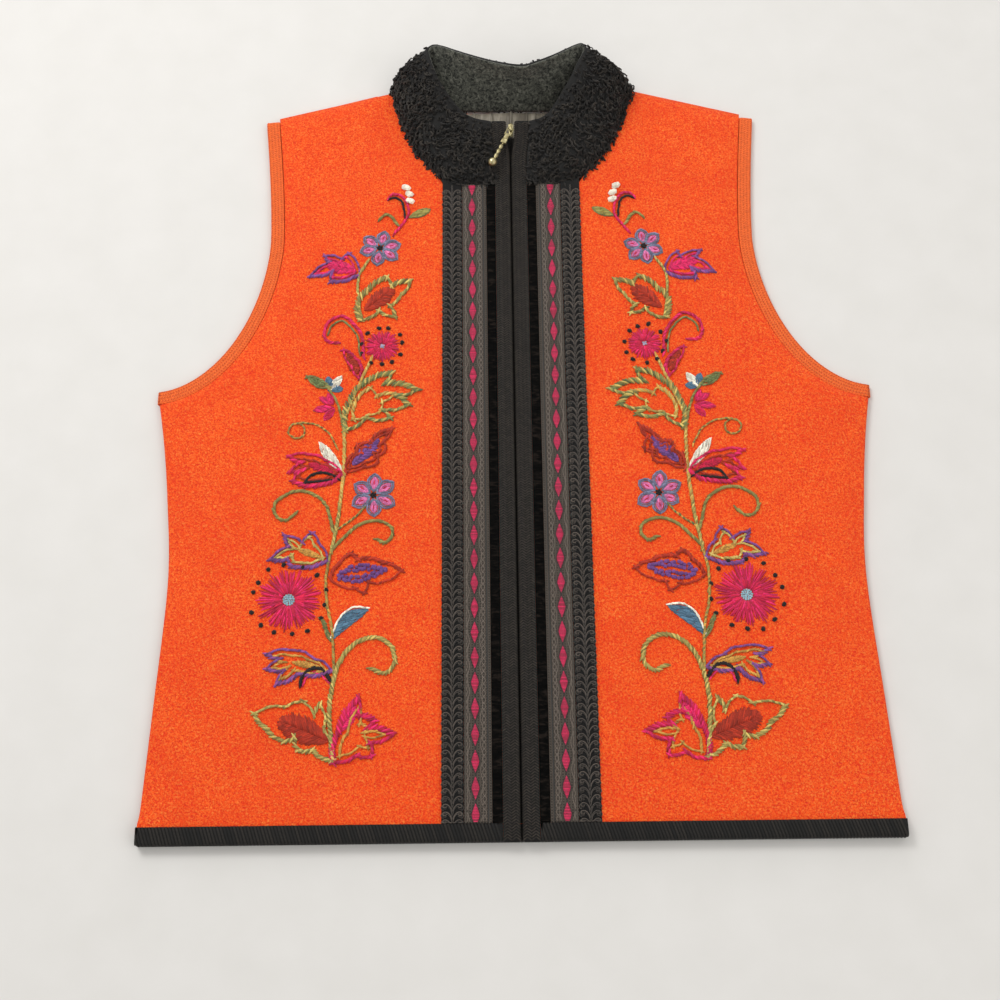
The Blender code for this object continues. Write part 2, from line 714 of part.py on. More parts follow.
def collar_pile(name, finish):
    """Curly pile outside the collar, with its foot laid over the neckline."""
    stations, skin = collar_skin()
    normals = surface_normals(skin)
    near = FLEECE / 2.0 + GAP
    inner = skin + normals * near
    outer = np.zeros_like(skin)
    last = len(stations) - 2
    round_way = np.gradient(skin[:, 0, :], axis=0)
    for number, (_, row) in enumerate(stations):
        at_edge = number in (1, last)
        for step in range(COLLAR_ROWS):
            bump = PILE_BUMP * math.sin(1.9 * number + 0.6 * step) * math.cos(1.3 * step - 0.7 * number)
            depth = PILE_EDGE if at_edge or step == COLLAR_ROWS - 1 else PILE + bump
            outer[number, step] = skin[number, step] + normals[number, step] * (near + depth)
        outwards = np.array([round_way[number][1], -round_way[number][0]])
        outwards /= np.linalg.norm(outwards)
        foot = skin[number, 0, :2] + outwards * PILE_FOOT
        outer[number, 0] = (foot[0], foot[1], row["foot_z"])
    inner = inner[1:-1]
    outer = outer[1:-1]
    outer[:, :, 2] = np.maximum(outer[:, :, 2], 0.0)
    faces = [tuple(reversed(face)) for face in grid_faces(len(inner), COLLAR_ROWS)]
    upper = [tuple(point) for point in outer.reshape(-1, 3)]
    lower = [tuple(point) for point in inner.reshape(-1, 3)]
    return slab(name, upper, lower, faces, finish)


def back_lining(name, finish):
    """Pleated satin on the inside of the back, where the neck leaves it in view."""
    crests = [centre + offset * PLEAT_HALF for centre in PLEATS for offset in (-1.0, 0.0, 1.0)]
    columns = sorted([-LINING_HALF, LINING_HALF] + crests)
    neck_curve = through([(0.0, BACK_NECK_Y), (34.0, 558.4), (LINING_HALF + 2.0, 564.6)], 40)
    upper = []
    lower = []
    rows = 4
    for row in range(rows):
        part = row / (rows - 1)
        for across in columns:
            top = float(np.interp(abs(across), neck_curve[:, 0], neck_curve[:, 1])) - 0.8
            along = LINING_LOW_Y + (top - LINING_LOW_Y) * part
            raised = PLEAT_HEIGHT if across in PLEATS else 0.0
            base = WOOL + GAP + raised
            spread = across * (1.0 + 0.02 * part)
            upper.append((spread, along, base + SATIN))
            lower.append((spread, along, base))
    return slab(name, upper, lower, grid_faces(rows, len(columns)), finish)


def zip_chain(name, finish):
    """Zip tapes with the closed chain between them, under the bindings."""
    rings = []
    half = BINDING_OUTER - 2.0
    inner = [row for row in centre_rows() if CHAIN_LOW_Y + 1.0 < row < SLIDER_LOW_Y - 3.0]
    for along in [CHAIN_LOW_Y] + inner + [SLIDER_LOW_Y - 0.4]:
        base = crest(along) - WOOL_BOUND / 2.0 - CHAIN_DROP - GAP - TAPE
        ring = [
            (-half, 0.0),
            (half, 0.0),
            (half, TAPE),
            (CHAIN_HALF, TAPE),
            (TEETH_HALF, TAPE + TEETH_LIFT),
            (-TEETH_HALF, TAPE + TEETH_LIFT),
            (-CHAIN_HALF, TAPE),
            (-half, TAPE),
        ]
        rings.append([(across, along, base + height) for across, height in ring])
    return sweep(name, rings, False, finish)


def prism(name, outline, low, high, turn):
    """A mesh of one flat outline carried between two offsets, with turn placing its three axes."""
    count = len(outline)
    points = [turn(first, second, low) for first, second in outline]
    points += [turn(first, second, high) for first, second in outline]
    faces = [tuple(reversed(range(count))), tuple(range(count, 2 * count))]
    for corner in range(count):
        following = (corner + 1) % count
        faces.append((corner, following, following + count, corner + count))
    return mesh_from(name, points, faces)


def joined(name, meshes, finish):
    """One closed solid from overlapping closed meshes."""
    base = bpy.data.objects.new(name + "_base", meshes[0])
    bpy.context.scene.collection.objects.link(base)
    tools = []
    for number, mesh in enumerate(meshes[1:]):
        tool = bpy.data.objects.new(f"{name}_tool_{number}", mesh)
        bpy.context.scene.collection.objects.link(tool)
        union = base.modifiers.new(f"union_{number}", "BOOLEAN")
        union.operation = "UNION"
        union.solver = "EXACT"
        union.object = tool
        tools.append(tool)
    graph = bpy.context.evaluated_depsgraph_get()
    whole = bpy.data.meshes.new_from_object(base.evaluated_get(graph))
    for extra in [base] + tools:
        bpy.data.objects.remove(extra)
    work = bmesh.new()
    work.from_mesh(whole)
    bmesh.ops.dissolve_degenerate(work, dist=0.00001, edges=work.edges)
    bmesh.ops.triangulate(work, faces=work.faces)
    work.to_mesh(whole)
    work.free()
    whole.materials.clear()
    return place(name, whole, finish)


def zip_slider(name, finish):
    """Slider at the top of the zip, with the low bridge that carries the charm."""
    low = SLIDER_LOW_Y
    high = SLIDER_LOW_Y + SLIDER_LENGTH
    half = SLIDER_HALF
    nose = [(-half * 0.75, low), (half * 0.75, low), (half, low + SLIDER_NOSE)]
    nose += [(half, high), (-half, high), (-half, low + SLIDER_NOSE)]

    def flat(first, second, offset):
        return (SLIDER_X + first, second, offset)

    body = prism(name + "_body", nose, SLIDER_BASE_Z, SLIDER_TOP_Z, flat)
    slant = BRIDGE_HALF * math.tan(math.radians(CHARM_YAW_DEG))
    front = PIN_Y - PIN_RADIUS - PIN_PLAY - slant
    back = high - 1.2
    top = PIN_Z + PIN_RADIUS + PIN_PLAY
    sunk = SLIDER_TOP_Z - 1.0
    bridge = [
        (front - BRIDGE_LEG, sunk),
        (front, sunk),
        (front, top),
        (back, top),
        (back, sunk),
        (back + BRIDGE_LEG, sunk),
        (back + BRIDGE_LEG, top + 0.3),
        (back + 0.5, top + BRIDGE_WALL),
        (front - 0.5, top + BRIDGE_WALL),
        (front - BRIDGE_LEG, top + 0.3),
    ]

    def upright(first, second, offset):
        return (SLIDER_X + offset, first, second)

    arch = prism(name + "_bridge", bridge, -BRIDGE_HALF, BRIDGE_HALF, upright)
    return joined(name, [body, arch], finish)


def charm_place(distance, lateral, height):
    """Where a point of the charm lies: distance from the pin, to its side, and above its axis."""
    yaw = math.radians(CHARM_YAW_DEG)
    tilt = math.radians(CHARM_TILT_DEG)
    out = distance * math.cos(tilt) - height * math.sin(tilt)
    up = distance * math.sin(tilt) + height * math.cos(tilt)
    x = SLIDER_X - out * math.sin(yaw) + lateral * math.cos(yaw)
    y = PIN_Y - out * math.cos(yaw) - lateral * math.sin(yaw)
    return (x, y, PIN_Z + up)


def zip_charm(name, finish):
    """Charm on the slider's bridge: a loop, a small block, three beads and a ball, in one piece."""

    def across(first, second, offset):
        return charm_place(first, offset, second)

    def flat(first, second, offset):
        return charm_place(first, second, offset)

    pin = []
    for corner in range(8):
        angle = math.tau * (corner + 0.5) / 8
        pin.append((PIN_RADIUS * math.cos(angle), PIN_RADIUS * math.sin(angle)))
    meshes = [prism(name + "_pin", pin, -LOOP_HALF + 0.3, LOOP_HALF - 0.3, across)]
    reach = LOOP_NEAR + 0.5
    arm = [(-0.55, -0.4), (-0.3, -LOOP_ROUND), (reach, -LOOP_ROUND)]
    arm += [(reach, LOOP_ROUND), (-0.3, LOOP_ROUND), (-0.55, 0.4)]
    meshes.append(prism(name + "_arm", arm, -LOOP_HALF, -LOOP_INNER, across))
    meshes.append(prism(name + "_arm", arm, LOOP_INNER, LOOP_HALF, across))
    bar_half = LOOP_ROUND + 0.05
    bar = [(LOOP_NEAR, -bar_half), (LOOP_FAR, -bar_half), (LOOP_FAR, bar_half), (LOOP_NEAR, bar_half)]
    meshes.append(prism(name + "_bar", bar, -LOOP_HALF - 0.05, LOOP_HALF + 0.05, across))
    foot = LOOP_FAR - 0.3
    block = [(foot, -BLOCK_NARROW), (BLOCK_END, -BLOCK_WIDE), (BLOCK_END, BLOCK_WIDE), (foot, BLOCK_NARROW)]
    meshes.append(prism(name + "_block", block, -BLOCK_HALF, BLOCK_HALF, flat))
    profile = [(BLOCK_END - 0.6, STEM_RADIUS), (BEAD_START - 0.2, STEM_RADIUS)]
    for bead in range(BEAD_COUNT):
        start = BEAD_START + bead * BEAD_LENGTH
        end = start + BEAD_LENGTH
        profile += [(start, BEAD_NECK), (start + 0.6, BEAD_RADIUS * BEAD_SHOULDER)]
        profile += [((start + end) / 2.0, BEAD_RADIUS), (end - 0.6, BEAD_RADIUS * BEAD_SHOULDER)]
    profile += [(BEAD_START + BEAD_COUNT * BEAD_LENGTH, BEAD_NECK)]
    for angle_deg in (162, 140, 115, 90, 65, 40, 18):
        angle = math.radians(angle_deg)
        profile.append((BALL_AT + BALL_RADIUS * math.cos(angle), BALL_RADIUS * math.sin(angle)))
    points = []
    faces = []
    for distance, radius in profile:
        for corner in range(CHARM_SIDES):
            angle = math.tau * corner / CHARM_SIDES
            points.append(charm_place(distance, radius * math.cos(angle), radius * math.sin(angle)))
    for step in range(len(profile) - 1):
        for corner in range(CHARM_SIDES):
            following = (corner + 1) % CHARM_SIDES
            near = step * CHARM_SIDES
            far = near + CHARM_SIDES
            faces.append((near + corner, near + following, far + following, far + corner))
    faces.append(tuple(reversed(range(CHARM_SIDES))))
    faces.append(tuple((len(profile) - 1) * CHARM_SIDES + corner for corner in range(CHARM_SIDES)))
    meshes.append(mesh_from(name + "_beads", points, faces))
    return joined(name, meshes, finish)


def settle(pieces, charm):
    """Centres the vest's box on the origin, on its underside, and gives the charm its pivot as origin."""
    corners = np.array([vertex.co for piece in pieces for vertex in piece.data.vertices])
    low = corners.min(axis=0)
    high = corners.max(axis=0)
    shift = Vector((-(low[0] + high[0]) / 2.0, -(low[1] + high[1]) / 2.0, -low[2]))
    for piece in pieces:
        piece.data.transform(Matrix.Translation(shift))
    pivot = Vector(charm_place(0.0, 0.0, 0.0)) * MM + shift
    charm.data.transform(Matrix.Translation(-pivot))
    charm.location = pivot
    print("pattern shift", tuple(round(value, 6) for value in shift))
    print("charm pivot", tuple(round(value, 6) for value in pivot))


def main():
    for old in list(bpy.data.objects):
        bpy.data.objects.remove(old)
    wool = material("boiled_wool", (0.93, 0.10, 0.015), 0.95)
    knit = material("band_knit", (0.95, 0.16, 0.05), 0.9)
    braid = material("dark_braid", (0.02, 0.016, 0.014), 0.8)
    velvet = material("black_velvet", (0.008, 0.008, 0.009), 0.95)
    woven = material("taupe_ribbon", (0.085, 0.08, 0.062), 0.85)
    gimp = material("black_gimp", (0.014, 0.014, 0.016), 0.6)
    pile = material("curly_pile", (0.022, 0.018, 0.014), 0.95)
    fleece = material("charcoal_fleece", (0.03, 0.034, 0.035), 0.95)
    satin = material("taupe_satin", (0.13, 0.11, 0.095), 0.4)
    tape = material("zip_tape", (0.02, 0.02, 0.02), 0.7)
    brass = material("pale_brass", (0.62, 0.56, 0.34), 0.35, 1.0)

    pieces = [back_panel("back_panel", wool)]
    for label, side in SIDES:
        pieces.append(front_panel(f"front_panel_{label}", side, wool))
        pieces.append(armhole_band(f"armhole_band_{label}", side, knit))
        pieces.append(zip_binding(f"zip_binding_{label}", side, braid))
        flat = [(0.0, RIBBON), (1.0, RIBBON)]
        nap = [(0.0, RIBBON * 0.6), (0.25, RIBBON + 0.2), (0.75, RIBBON + 0.2), (1.0, RIBBON * 0.6)]
        lobes = [(0.0, GIMP * 0.5), (0.22, GIMP), (0.5, GIMP * 0.7), (0.78, GIMP), (1.0, GIMP * 0.5)]
        pieces.append(flat_trim(f"velvet_ribbon_{label}", side, VELVET, nap, velvet))
        pieces.append(flat_trim(f"woven_ribbon_{label}", side, WOVEN, flat, woven))
        pieces.append(flat_trim(f"gimp_braid_{label}", side, GIMP_EDGES, lobes, gimp))
        start = side * (BINDING_OUTER + GAP)
        end = side * SIDE[0][1]
        front_middle = CREST - WOOL_BOUND / 2.0
        pieces.append(hem_binding(f"hem_binding_front_{label}", start, end, front_middle, 12, braid))
    outside = WOOL_BOUND / 2.0 + GAP + BINDING_WALL
    pieces.append(hem_binding("hem_binding_back", -SIDE[0][1], SIDE[0][1], outside, 16, braid))
    pieces.append(collar_facing("collar_facing", fleece))
    pieces.append(collar_pile("collar_pile", pile))
    pieces.append(back_lining("back_lining", satin))
    pieces.append(zip_chain("zip_chain", tape))
    pieces.append(zip_slider("zip_slider", brass))
    charm = zip_charm("zip_pull", brass)
    pieces.append(charm)
    settle(pieces, charm)


if __name__ == "__main__":
    main()
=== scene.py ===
"""Looks of an embroidered boiled-wool vest with a curly pile collar and a zip, laid flat on its back.

The pieces are drawn in the pattern's own millimetres: x runs across from the centre front (plus is the
wearer's left), y runs from the hem to the neck, and z rises from the surface that the vest lies on. The same
curves as in the solids give the cloth its form, at finer steps.
"""

import math

import bmesh
import bpy
import numpy as np
from mathutils import Matrix, Vector
from mathutils.bvhtree import BVHTree

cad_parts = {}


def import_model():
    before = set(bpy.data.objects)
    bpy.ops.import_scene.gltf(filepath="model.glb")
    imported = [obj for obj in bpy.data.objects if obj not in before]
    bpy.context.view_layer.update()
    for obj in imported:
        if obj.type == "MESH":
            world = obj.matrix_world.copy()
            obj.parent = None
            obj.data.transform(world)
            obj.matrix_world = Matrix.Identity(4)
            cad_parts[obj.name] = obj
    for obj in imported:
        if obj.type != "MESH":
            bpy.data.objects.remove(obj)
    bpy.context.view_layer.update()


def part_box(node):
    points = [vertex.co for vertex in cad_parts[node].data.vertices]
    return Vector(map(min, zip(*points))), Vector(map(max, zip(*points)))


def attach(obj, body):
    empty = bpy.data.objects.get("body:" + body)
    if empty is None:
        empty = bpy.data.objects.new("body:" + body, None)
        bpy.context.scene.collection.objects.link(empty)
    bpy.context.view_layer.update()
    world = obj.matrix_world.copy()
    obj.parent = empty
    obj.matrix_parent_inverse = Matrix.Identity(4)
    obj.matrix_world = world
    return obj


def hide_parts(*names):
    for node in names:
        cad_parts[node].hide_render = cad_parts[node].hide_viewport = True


bl_info = {
    "name": "Embroidered wool vest",
    "version": (1, 0, 0),
    "blender": (4, 5, 0),
    "location": "3D View > Sidebar > Vest",
    "description": "Dresses the packed vest with wool, knit, braid, pile, crewel work and a zip",
    "category": "Object",
}

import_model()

# Lengths are in pattern millimetres, and the hem's fold lies at HEM_AT in the frame
MM = 0.001
HEM_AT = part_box("hem_binding_back")[0].y
SEED = 7

# Set before a finish's name, so that it isn't taken for the plain finish of a solid
LOOK = "look_"

# Cloth thicknesses
GAP = 0.3
WOOL = 2.4
WOOL_BOUND = 1.6
BAND_KNIT = 1.8
BINDING_WALL = 1.0
FLEECE = 1.6
PILE = 4.3
RIBBON = 1.0
SATIN = 0.8
TAPE = 0.7

# Body outline: along and half width at the side seam, then the armhole, shoulder and neck
SIDE = [(0.0, 248.5), (88.0, 244.0), (178.0, 240.0), (238.0, 244.5), (282.0, 250.0), (322.0, 257.0)]
UNDERARM_X = 257.0
UNDERARM_Y = 322.0
ARM_NARROW_X = 181.0
ARM_NARROW_Y = 445.0
ARM_POWER = 3.33
ARM_FLARE = 8.0
ARM_FLARE_POWER = 1.5
SHOULDER_TIP_X = 189.0
SHOULDER_TIP_Y = 552.0
BAND_WIDTH = 10.0
BAND_SEAM = 1.0
BODY_INSET = BAND_WIDTH + BAND_SEAM - 0.6
SHOULDER_SEAM = 0.2
NECK_X = 95.0
NECK_Y = 578.0
NECKLINE = [(52.0, 490.8), (58.6, 502.3), (71.0, 518.8), (81.0, 539.4), (87.8, 560.6), (93.0, 577.6)]
BACK_NECK = [(0.0, 559.0), (34.0, 558.4), (64.0, 565.0), (90.4, 575.0)]
BACK_NECK_Y = 559.0

# Share of the back's width at the top that is neck, and how far the neck leans towards plus x
NECK_SHARE = 0.53
NECK_LEAN = 2.5

# Trims beside the centre front: inner and outer edge of each from the centre line
BINDING_INNER = 0.5
BINDING_OUTER = 12.0
VELVET = (12.02, 18.72)
WOVEN = (18.75, 37.1)
GIMP_EDGES = (37.2, 52.1)
TRIM_ZONE = 52.0
TRIM_LOW_Y = 11.75
TRIM_HIGH_Y = 489.2
HEM_WIDTH = 11.5

# The wool is thinner up to here, where the hem's braid folds over it
HEM_BOUND = HEM_WIDTH + 0.9

# Outside of a folded braid from the middle of the wool in it, and how far the fold reaches past the edge
FOLD_OUTSIDE = WOOL_BOUND / 2.0 + GAP + BINDING_WALL
FOLD_REACH = 2.3

# How far the zip's tapes lie below the middle of the front edges
CHAIN_DROP = 2.1

# Woven diamonds: their distance from the centre line, half width and half length
DIAMOND_X = 29.6
DIAMOND_HALF_WIDTH = 2.5
DIAMOND_HALF_LENGTH = 6.9

# Radii of the ribbon's threads, of the cord in the middle of the gimp and of the zip's teeth
DIAMOND_THREAD = 0.46
WAVED_THREAD = 0.3
LINE_THREAD = 0.5
GIMP_CORD = 0.34
TOOTH_RADIUS = 0.34

# One curl of the gimp and the scallop at its edge, from the braid's stem outwards and along, and the half
# width and pitch that they were drawn for
GIMP_LOOP = [
    (0.35, -5.2), (0.6, -3.0), (1.0, -1.0), (1.9, 0.9), (3.4, 2.1),
    (4.9, 2.0), (5.6, 0.9), (5.1, -0.3), (3.9, -0.5), (3.3, 0.4),
]
GIMP_SCALLOP = [(4.9, -2.6), (6.1, -2.0), (6.4, -0.6), (6.0, 0.8), (4.9, 1.4)]
GIMP_DRAWN = (6.2, 6.0)

# Strands of the gimp: curl, points along it, how far it hangs back and down, radius, darkest and palest
# tint. The pale tints are painted highlight on the black cord; the strand that hangs back is painted
# darker, as shade
GIMP_STRANDS = [
    (GIMP_LOOP, 13, 0.0, 0.36, 0.4, 1.0),
    (GIMP_LOOP, 13, 1.0, 0.32, 0.0, 0.45),
    (GIMP_SCALLOP, 5, 0.0, 0.34, 0.0, 0.6),
]

# Heights of the laid garment
FRONT_LIFT = 5.1
CREST = 7.4
NECK_RISE = 2.0
COLLAR_RISE = 6.0
COLLAR_SWELL = 1.2
RISE_LENGTH = 60.0
COLLAR_SEAM_Y = 490.0
COLLAR_TOP_Y = 541.0
NOTCH_FROM = 508.0
NOTCH_FULL = 529.0
NOTCH = 2.3
FIELD_LOFT = 1.7
EDGE_ROUND = 2.4

# Slow wave along the trims: height, length, start, and where it fades in and out
WAVE_HEIGHT = 0.5
WAVE_LENGTH = 170.0
WAVE_START = 30.0
WAVE_LOW = 20.0
WAVE_HIGH = 430.0
WAVE_EASE = 60.0

# Distances over which the fronts' face eases from the trims, the hem, the side and the shoulder
TRIM_REACH = 50.0
TRIM_EASE = 12.0
HEM_EASE = 30.0
SIDE_EASE = 16.0
SHOULDER_EASE = 18.0
RIPPLE_LENGTH = 34.0

# Pressed ridge above the hem: height, place, half width, and its own slow sway
RIDGE_HEIGHT = 0.55
RIDGE_Y = 26.0
RIDGE_HALF = 3.2
RIDGE_SWAY = 0.8
RIDGE_SWAY_LENGTH = 31.0
RIDGE_EASE = 20.0

# How far the face is rounded down at the side seam, the armhole and the shoulder
SIDE_ROUND = 1.9
ARM_ROUND = 1.0
SHOULDER_ROUND = 1.7

# Soft swells and troughs of the fronts: side, across, along, reach across, reach along, turn in degrees, lift
SWELLS = [
    (1, 150.0, 120.0, 70.0, 60.0, 10.0, 1.1),
    (1, 205.0, 230.0, 26.0, 90.0, -8.0, 0.9),
    (1, 120.0, 300.0, 60.0, 34.0, 24.0, -0.9),
    (1, 128.0, 410.0, 30.0, 80.0, -14.0, 1.2),
    (1, 196.0, 292.0, 46.0, 14.0, 32.0, 0.9),
    (1, 90.0, 200.0, 30.0, 70.0, 6.0, -0.6),
    (-1, 140.0, 100.0, 80.0, 48.0, -12.0, 0.9),
    (-1, 200.0, 205.0, 30.0, 84.0, 9.0, 1.2),
    (-1, 130.0, 285.0, 70.0, 30.0, -20.0, -0.8),
    (-1, 122.0, 420.0, 34.0, 70.0, 12.0, 1.1),
    (-1, 190.0, 300.0, 50.0, 13.0, -28.0, 1.0),
    (-1, 92.0, 170.0, 28.0, 80.0, -5.0, -0.6),
]

# Collar stations from the centre front round to the centre back, on the side of plus x:
# base x, y, z, rim x, y, z, bulge, height of the pile's foot, share of the base's lean towards plus x,
# and shift of the rim towards plus x
COLLAR = [
    (2.3, 491.8, 8.6, 2.3, 541.0, 14.6, 1.2, 9.8, 0.0, 0.0),
    (12.3, 491.8, 8.6, 12.3, 541.0, 14.6, 1.2, 9.8, 0.0, 0.0),
    (24.0, 491.8, 8.6, 19.0, 541.6, 15.3, 1.6, 9.8, 0.0, -0.6),
    (37.0, 492.2, 8.6, 25.3, 542.6, 16.5, 2.0, 9.8, 0.0, -1.5),
    (49.6, 495.9, 8.8, 31.7, 545.4, 18.3, 2.6, 9.6, 0.1, -2.6),
    (57.8, 503.4, 8.5, 36.8, 550.0, 20.5, 3.2, 9.2, 0.2, -3.4),
    (69.9, 519.4, 7.7, 43.2, 558.6, 24.5, 3.8, 8.4, 0.4, -4.0),
    (79.7, 539.9, 6.6, 49.4, 568.8, 29.0, 4.2, 7.3, 0.6, -4.0),
    (86.6, 561.0, 5.4, 54.0, 578.6, 32.5, 4.4, 6.0, 0.8, -3.7),
    (90.0, 570.8, 4.8, 56.5, 584.6, 33.8, 4.4, 5.2, 0.9, -3.2),
    (91.2, 577.0, 4.1, 58.2, 588.6, 34.8, 4.2, 3.8, 1.0, -2.6),
    (86.0, 576.4, 3.4, 59.2, 592.6, 35.7, 3.6, 1.6, 1.0, -2.0),
    (78.0, 572.0, 2.9, 57.2, 595.8, 36.7, 3.0, 0.6, 1.0, -1.3),
    (70.0, 568.3, 2.6, 51.8, 594.2, 38.2, 2.6, 0.3, 1.0, -0.4),
    (55.0, 563.7, 2.6, 43.2, 588.8, 39.8, 2.6, 0.3, 1.0, 0.9),
    (38.0, 560.6, 2.6, 30.1, 581.8, 41.0, 2.6, 0.3, 1.0, 3.1),
    (19.0, 559.7, 2.6, 15.2, 575.4, 41.8, 2.8, 0.3, 1.0, 5.6),
    (0.0, 560.0, 2.6, 0.0, 571.8, 42.0, 3.0, 0.3, 1.0, 8.6),
]
COLLAR_ROWS = 7
COLLAR_STEPS = 4
PILE_FOOT = 3.6
PILE_EDGE = 2.5

# Share of the pile's depth that is matted ground, and how low and how far its locks may reach
PILE_GROUND = 0.62
LOWEST_LOCK = 0.95
FARTHEST_LOCK = 600.0

# Pleat centres of the lining, and the part of it that is modelled
PLEATS = (-52.0, -46.0, -41.0, -36.0, -27.0, -14.0, 1.0, 13.0, 19.0, 26.0, 33.0, 40.0, 48.0)
LINING_HALF = 62.0
LINING_LOW_Y = 506.0

# Zip slider and the charm on its bridge
SLIDER_X = 0.5
SLIDER_LOW_Y = 529.5
SLIDER_LENGTH = 9.0
SLIDER_HALF = 2.1
SLIDER_BASE_Z = 12.5
SLIDER_TOP_Z = 16.7
BRIDGE_HALF = 0.9
PIN_Y = 533.4
PIN_Z = 17.8
PIN_RADIUS = 0.5
PIN_PLAY = 0.2
CHARM_YAW_DEG = 24.5
CHARM_TILT_DEG = 4.5
LOOP_HALF = 2.7
LOOP_INNER = 2.0
LOOP_NEAR = 5.0
LOOP_FAR = 6.6
BLOCK_END = 15.0
BEAD_START = 16.4
BEAD_LENGTH = 4.6
BEAD_COUNT = 3
BEAD_RADIUS = 1.75
BEAD_NECK = 0.35
BEAD_STEM = 0.85
BALL_AT = 34.5
BALL_RADIUS = 3.5

SIDES = (("left", 1), ("right", -1))


def linear(red, green, blue):
    """A colour given as 0 to 255 on a screen, as the shader's linear values."""
    made = []
    for value in (red, green, blue):
        share = value / 255.0
        made.append(share / 12.92 if share <= 0.04045 else ((share + 0.055) / 1.055) ** 2.4)
    return tuple(made)


def scaled(colour, factor):
    """A colour made darker or paler by a factor."""
    return tuple(factor * part for part in colour)


class VestCloth(bpy.types.PropertyGroup):
    wool_colour: bpy.props.FloatVectorProperty(
        name="Wool", description="Colour of the boiled wool", subtype="COLOR", default=linear(255, 85, 2)
    )
    knit_colour: bpy.props.FloatVectorProperty(
        name="Bands", description="Colour of the armhole knit", subtype="COLOR", default=linear(250, 118, 48)
    )
    wool_step: bpy.props.FloatProperty(
        name="Wool step", description="Spacing of the fronts' grid", default=0.0048, unit="LENGTH"
    )
    undulation: bpy.props.FloatProperty(
        name="Undulation", description="Height of the wool's small unevenness", default=0.0003, unit="LENGTH"
    )


class VestTrim(bpy.types.PropertyGroup):
    braid_colour: bpy.props.FloatVectorProperty(
        name="Bindings", description="Colour of the folded braid", subtype="COLOR", default=linear(36, 31, 26)
    )
    ribbon_colour: bpy.props.FloatVectorProperty(
        name="Ribbon", description="Ground of the woven ribbon", subtype="COLOR", default=linear(90, 80, 71)
    )
    diamond_colour: bpy.props.FloatVectorProperty(
        name="Diamonds", description="Woven diamonds of the ribbon", subtype="COLOR",
        default=linear(224, 20, 88),
    )
    rib_pitch: bpy.props.FloatProperty(
        name="Rib pitch", description="Spacing of the braid's ribs", default=0.0019, unit="LENGTH"
    )
    diamond_pitch: bpy.props.FloatProperty(
        name="Diamond pitch", description="Spacing of the diamonds", default=0.0174, unit="LENGTH"
    )
    gimp_pitch: bpy.props.FloatProperty(
        name="Gimp pitch", description="Spacing of the gimp's loops", default=0.005, unit="LENGTH"
    )


class VestCollar(bpy.types.PropertyGroup):
    pile_colour: bpy.props.FloatVectorProperty(
        name="Pile", description="Colour of the curly pile", subtype="COLOR", default=linear(42, 37, 31)
    )
    fleece_colour: bpy.props.FloatVectorProperty(
        name="Fleece", description="Colour of the collar's facing", subtype="COLOR",
        default=linear(77, 78, 70),
    )
    locks: bpy.props.IntProperty(name="Locks", description="Number of curled locks of the pile", default=4600)
    lock_length: bpy.props.FloatProperty(
        name="Lock length", description="Length of one lock", default=0.0048, unit="LENGTH"
    )


class VestStage(bpy.types.PropertyGroup):
    lens: bpy.props.FloatProperty(name="Lens", description="Focal length in millimetres", default=52.2)
    camera_at: bpy.props.FloatVectorProperty(
        name="Camera", description="Where the camera stands", subtype="TRANSLATION",
        default=(-0.0156, -0.4232, 0.9544),
    )
    camera_aim: bpy.props.FloatVectorProperty(
        name="Aim", description="Point that the camera looks at", subtype="TRANSLATION",
        default=(-0.0113, -0.0626, 0.0),
    )
    floor_size: bpy.props.FloatProperty(
        name="Floor", description="Width of the floor", default=5.0, unit="LENGTH"
    )


# Curves and heights of the garment


def smooth(value):
    """Eases from 0 to 1 as value goes from 0 to 1."""
    held = np.clip(value, 0.0, 1.0)
    return held * held * (3.0 - 2.0 * held)


def refine(points, steps, axis=0):
    """Points of smooth curves through the given ones, with steps parts between each pair along one axis."""
    given = np.moveaxis(np.asarray(points, dtype=float), axis, 0)
    ends = np.concatenate([2 * given[:1] - given[1:2], given, 2 * given[-1:] - given[-2:-1]])
    before, start, end, after = ends[:-3], ends[1:-2], ends[2:-1], ends[3:]
    rows = []
    for step in range(steps):
        t = step / steps
        rows.append(
            0.5
            * (
                2 * start
                + (end - before) * t
                + (2 * before - 5 * start + 4 * end - after) * t**2
                + (3 * start - before - 3 * end + after) * t**3
            )
        )
    dense = np.stack(rows, axis=1).reshape((-1,) + given.shape[1:])
    return np.moveaxis(np.concatenate([dense, given[-1:]]), 0, axis)


def through(points, count):
    """Points spread evenly along a smooth curve through the given points."""
    dense = refine(points, 12)
    travelled = np.concatenate([[0.0], np.cumsum(np.linalg.norm(np.diff(dense, axis=0), axis=1))])
    wanted = np.linspace(0.0, travelled[-1], count)
    return np.array([np.interp(wanted, travelled, dense[:, axis]) for axis in range(dense.shape[1])]).T


SIDE_CURVE = through(SIDE, 60)


def places(across, along, height):
    """A grid of points, from values given by row, by column or as one number."""
    return np.stack(np.broadcast_arrays(across, along, height), axis=-1)


def unit(vectors):
    """Vectors brought to a length of one."""
    return vectors / np.linalg.norm(vectors, axis=-1, keepdims=True)


def aside_of(directions):
    """Directions turned a quarter to the left in the plane of the cloth."""
    return np.stack([-directions[..., 1], directions[..., 0]], axis=-1)


def side_x(along):
    """Half width of the body at a height below the underarm."""
    return np.interp(along, SIDE_CURVE[:, 0], SIDE_CURVE[:, 1])


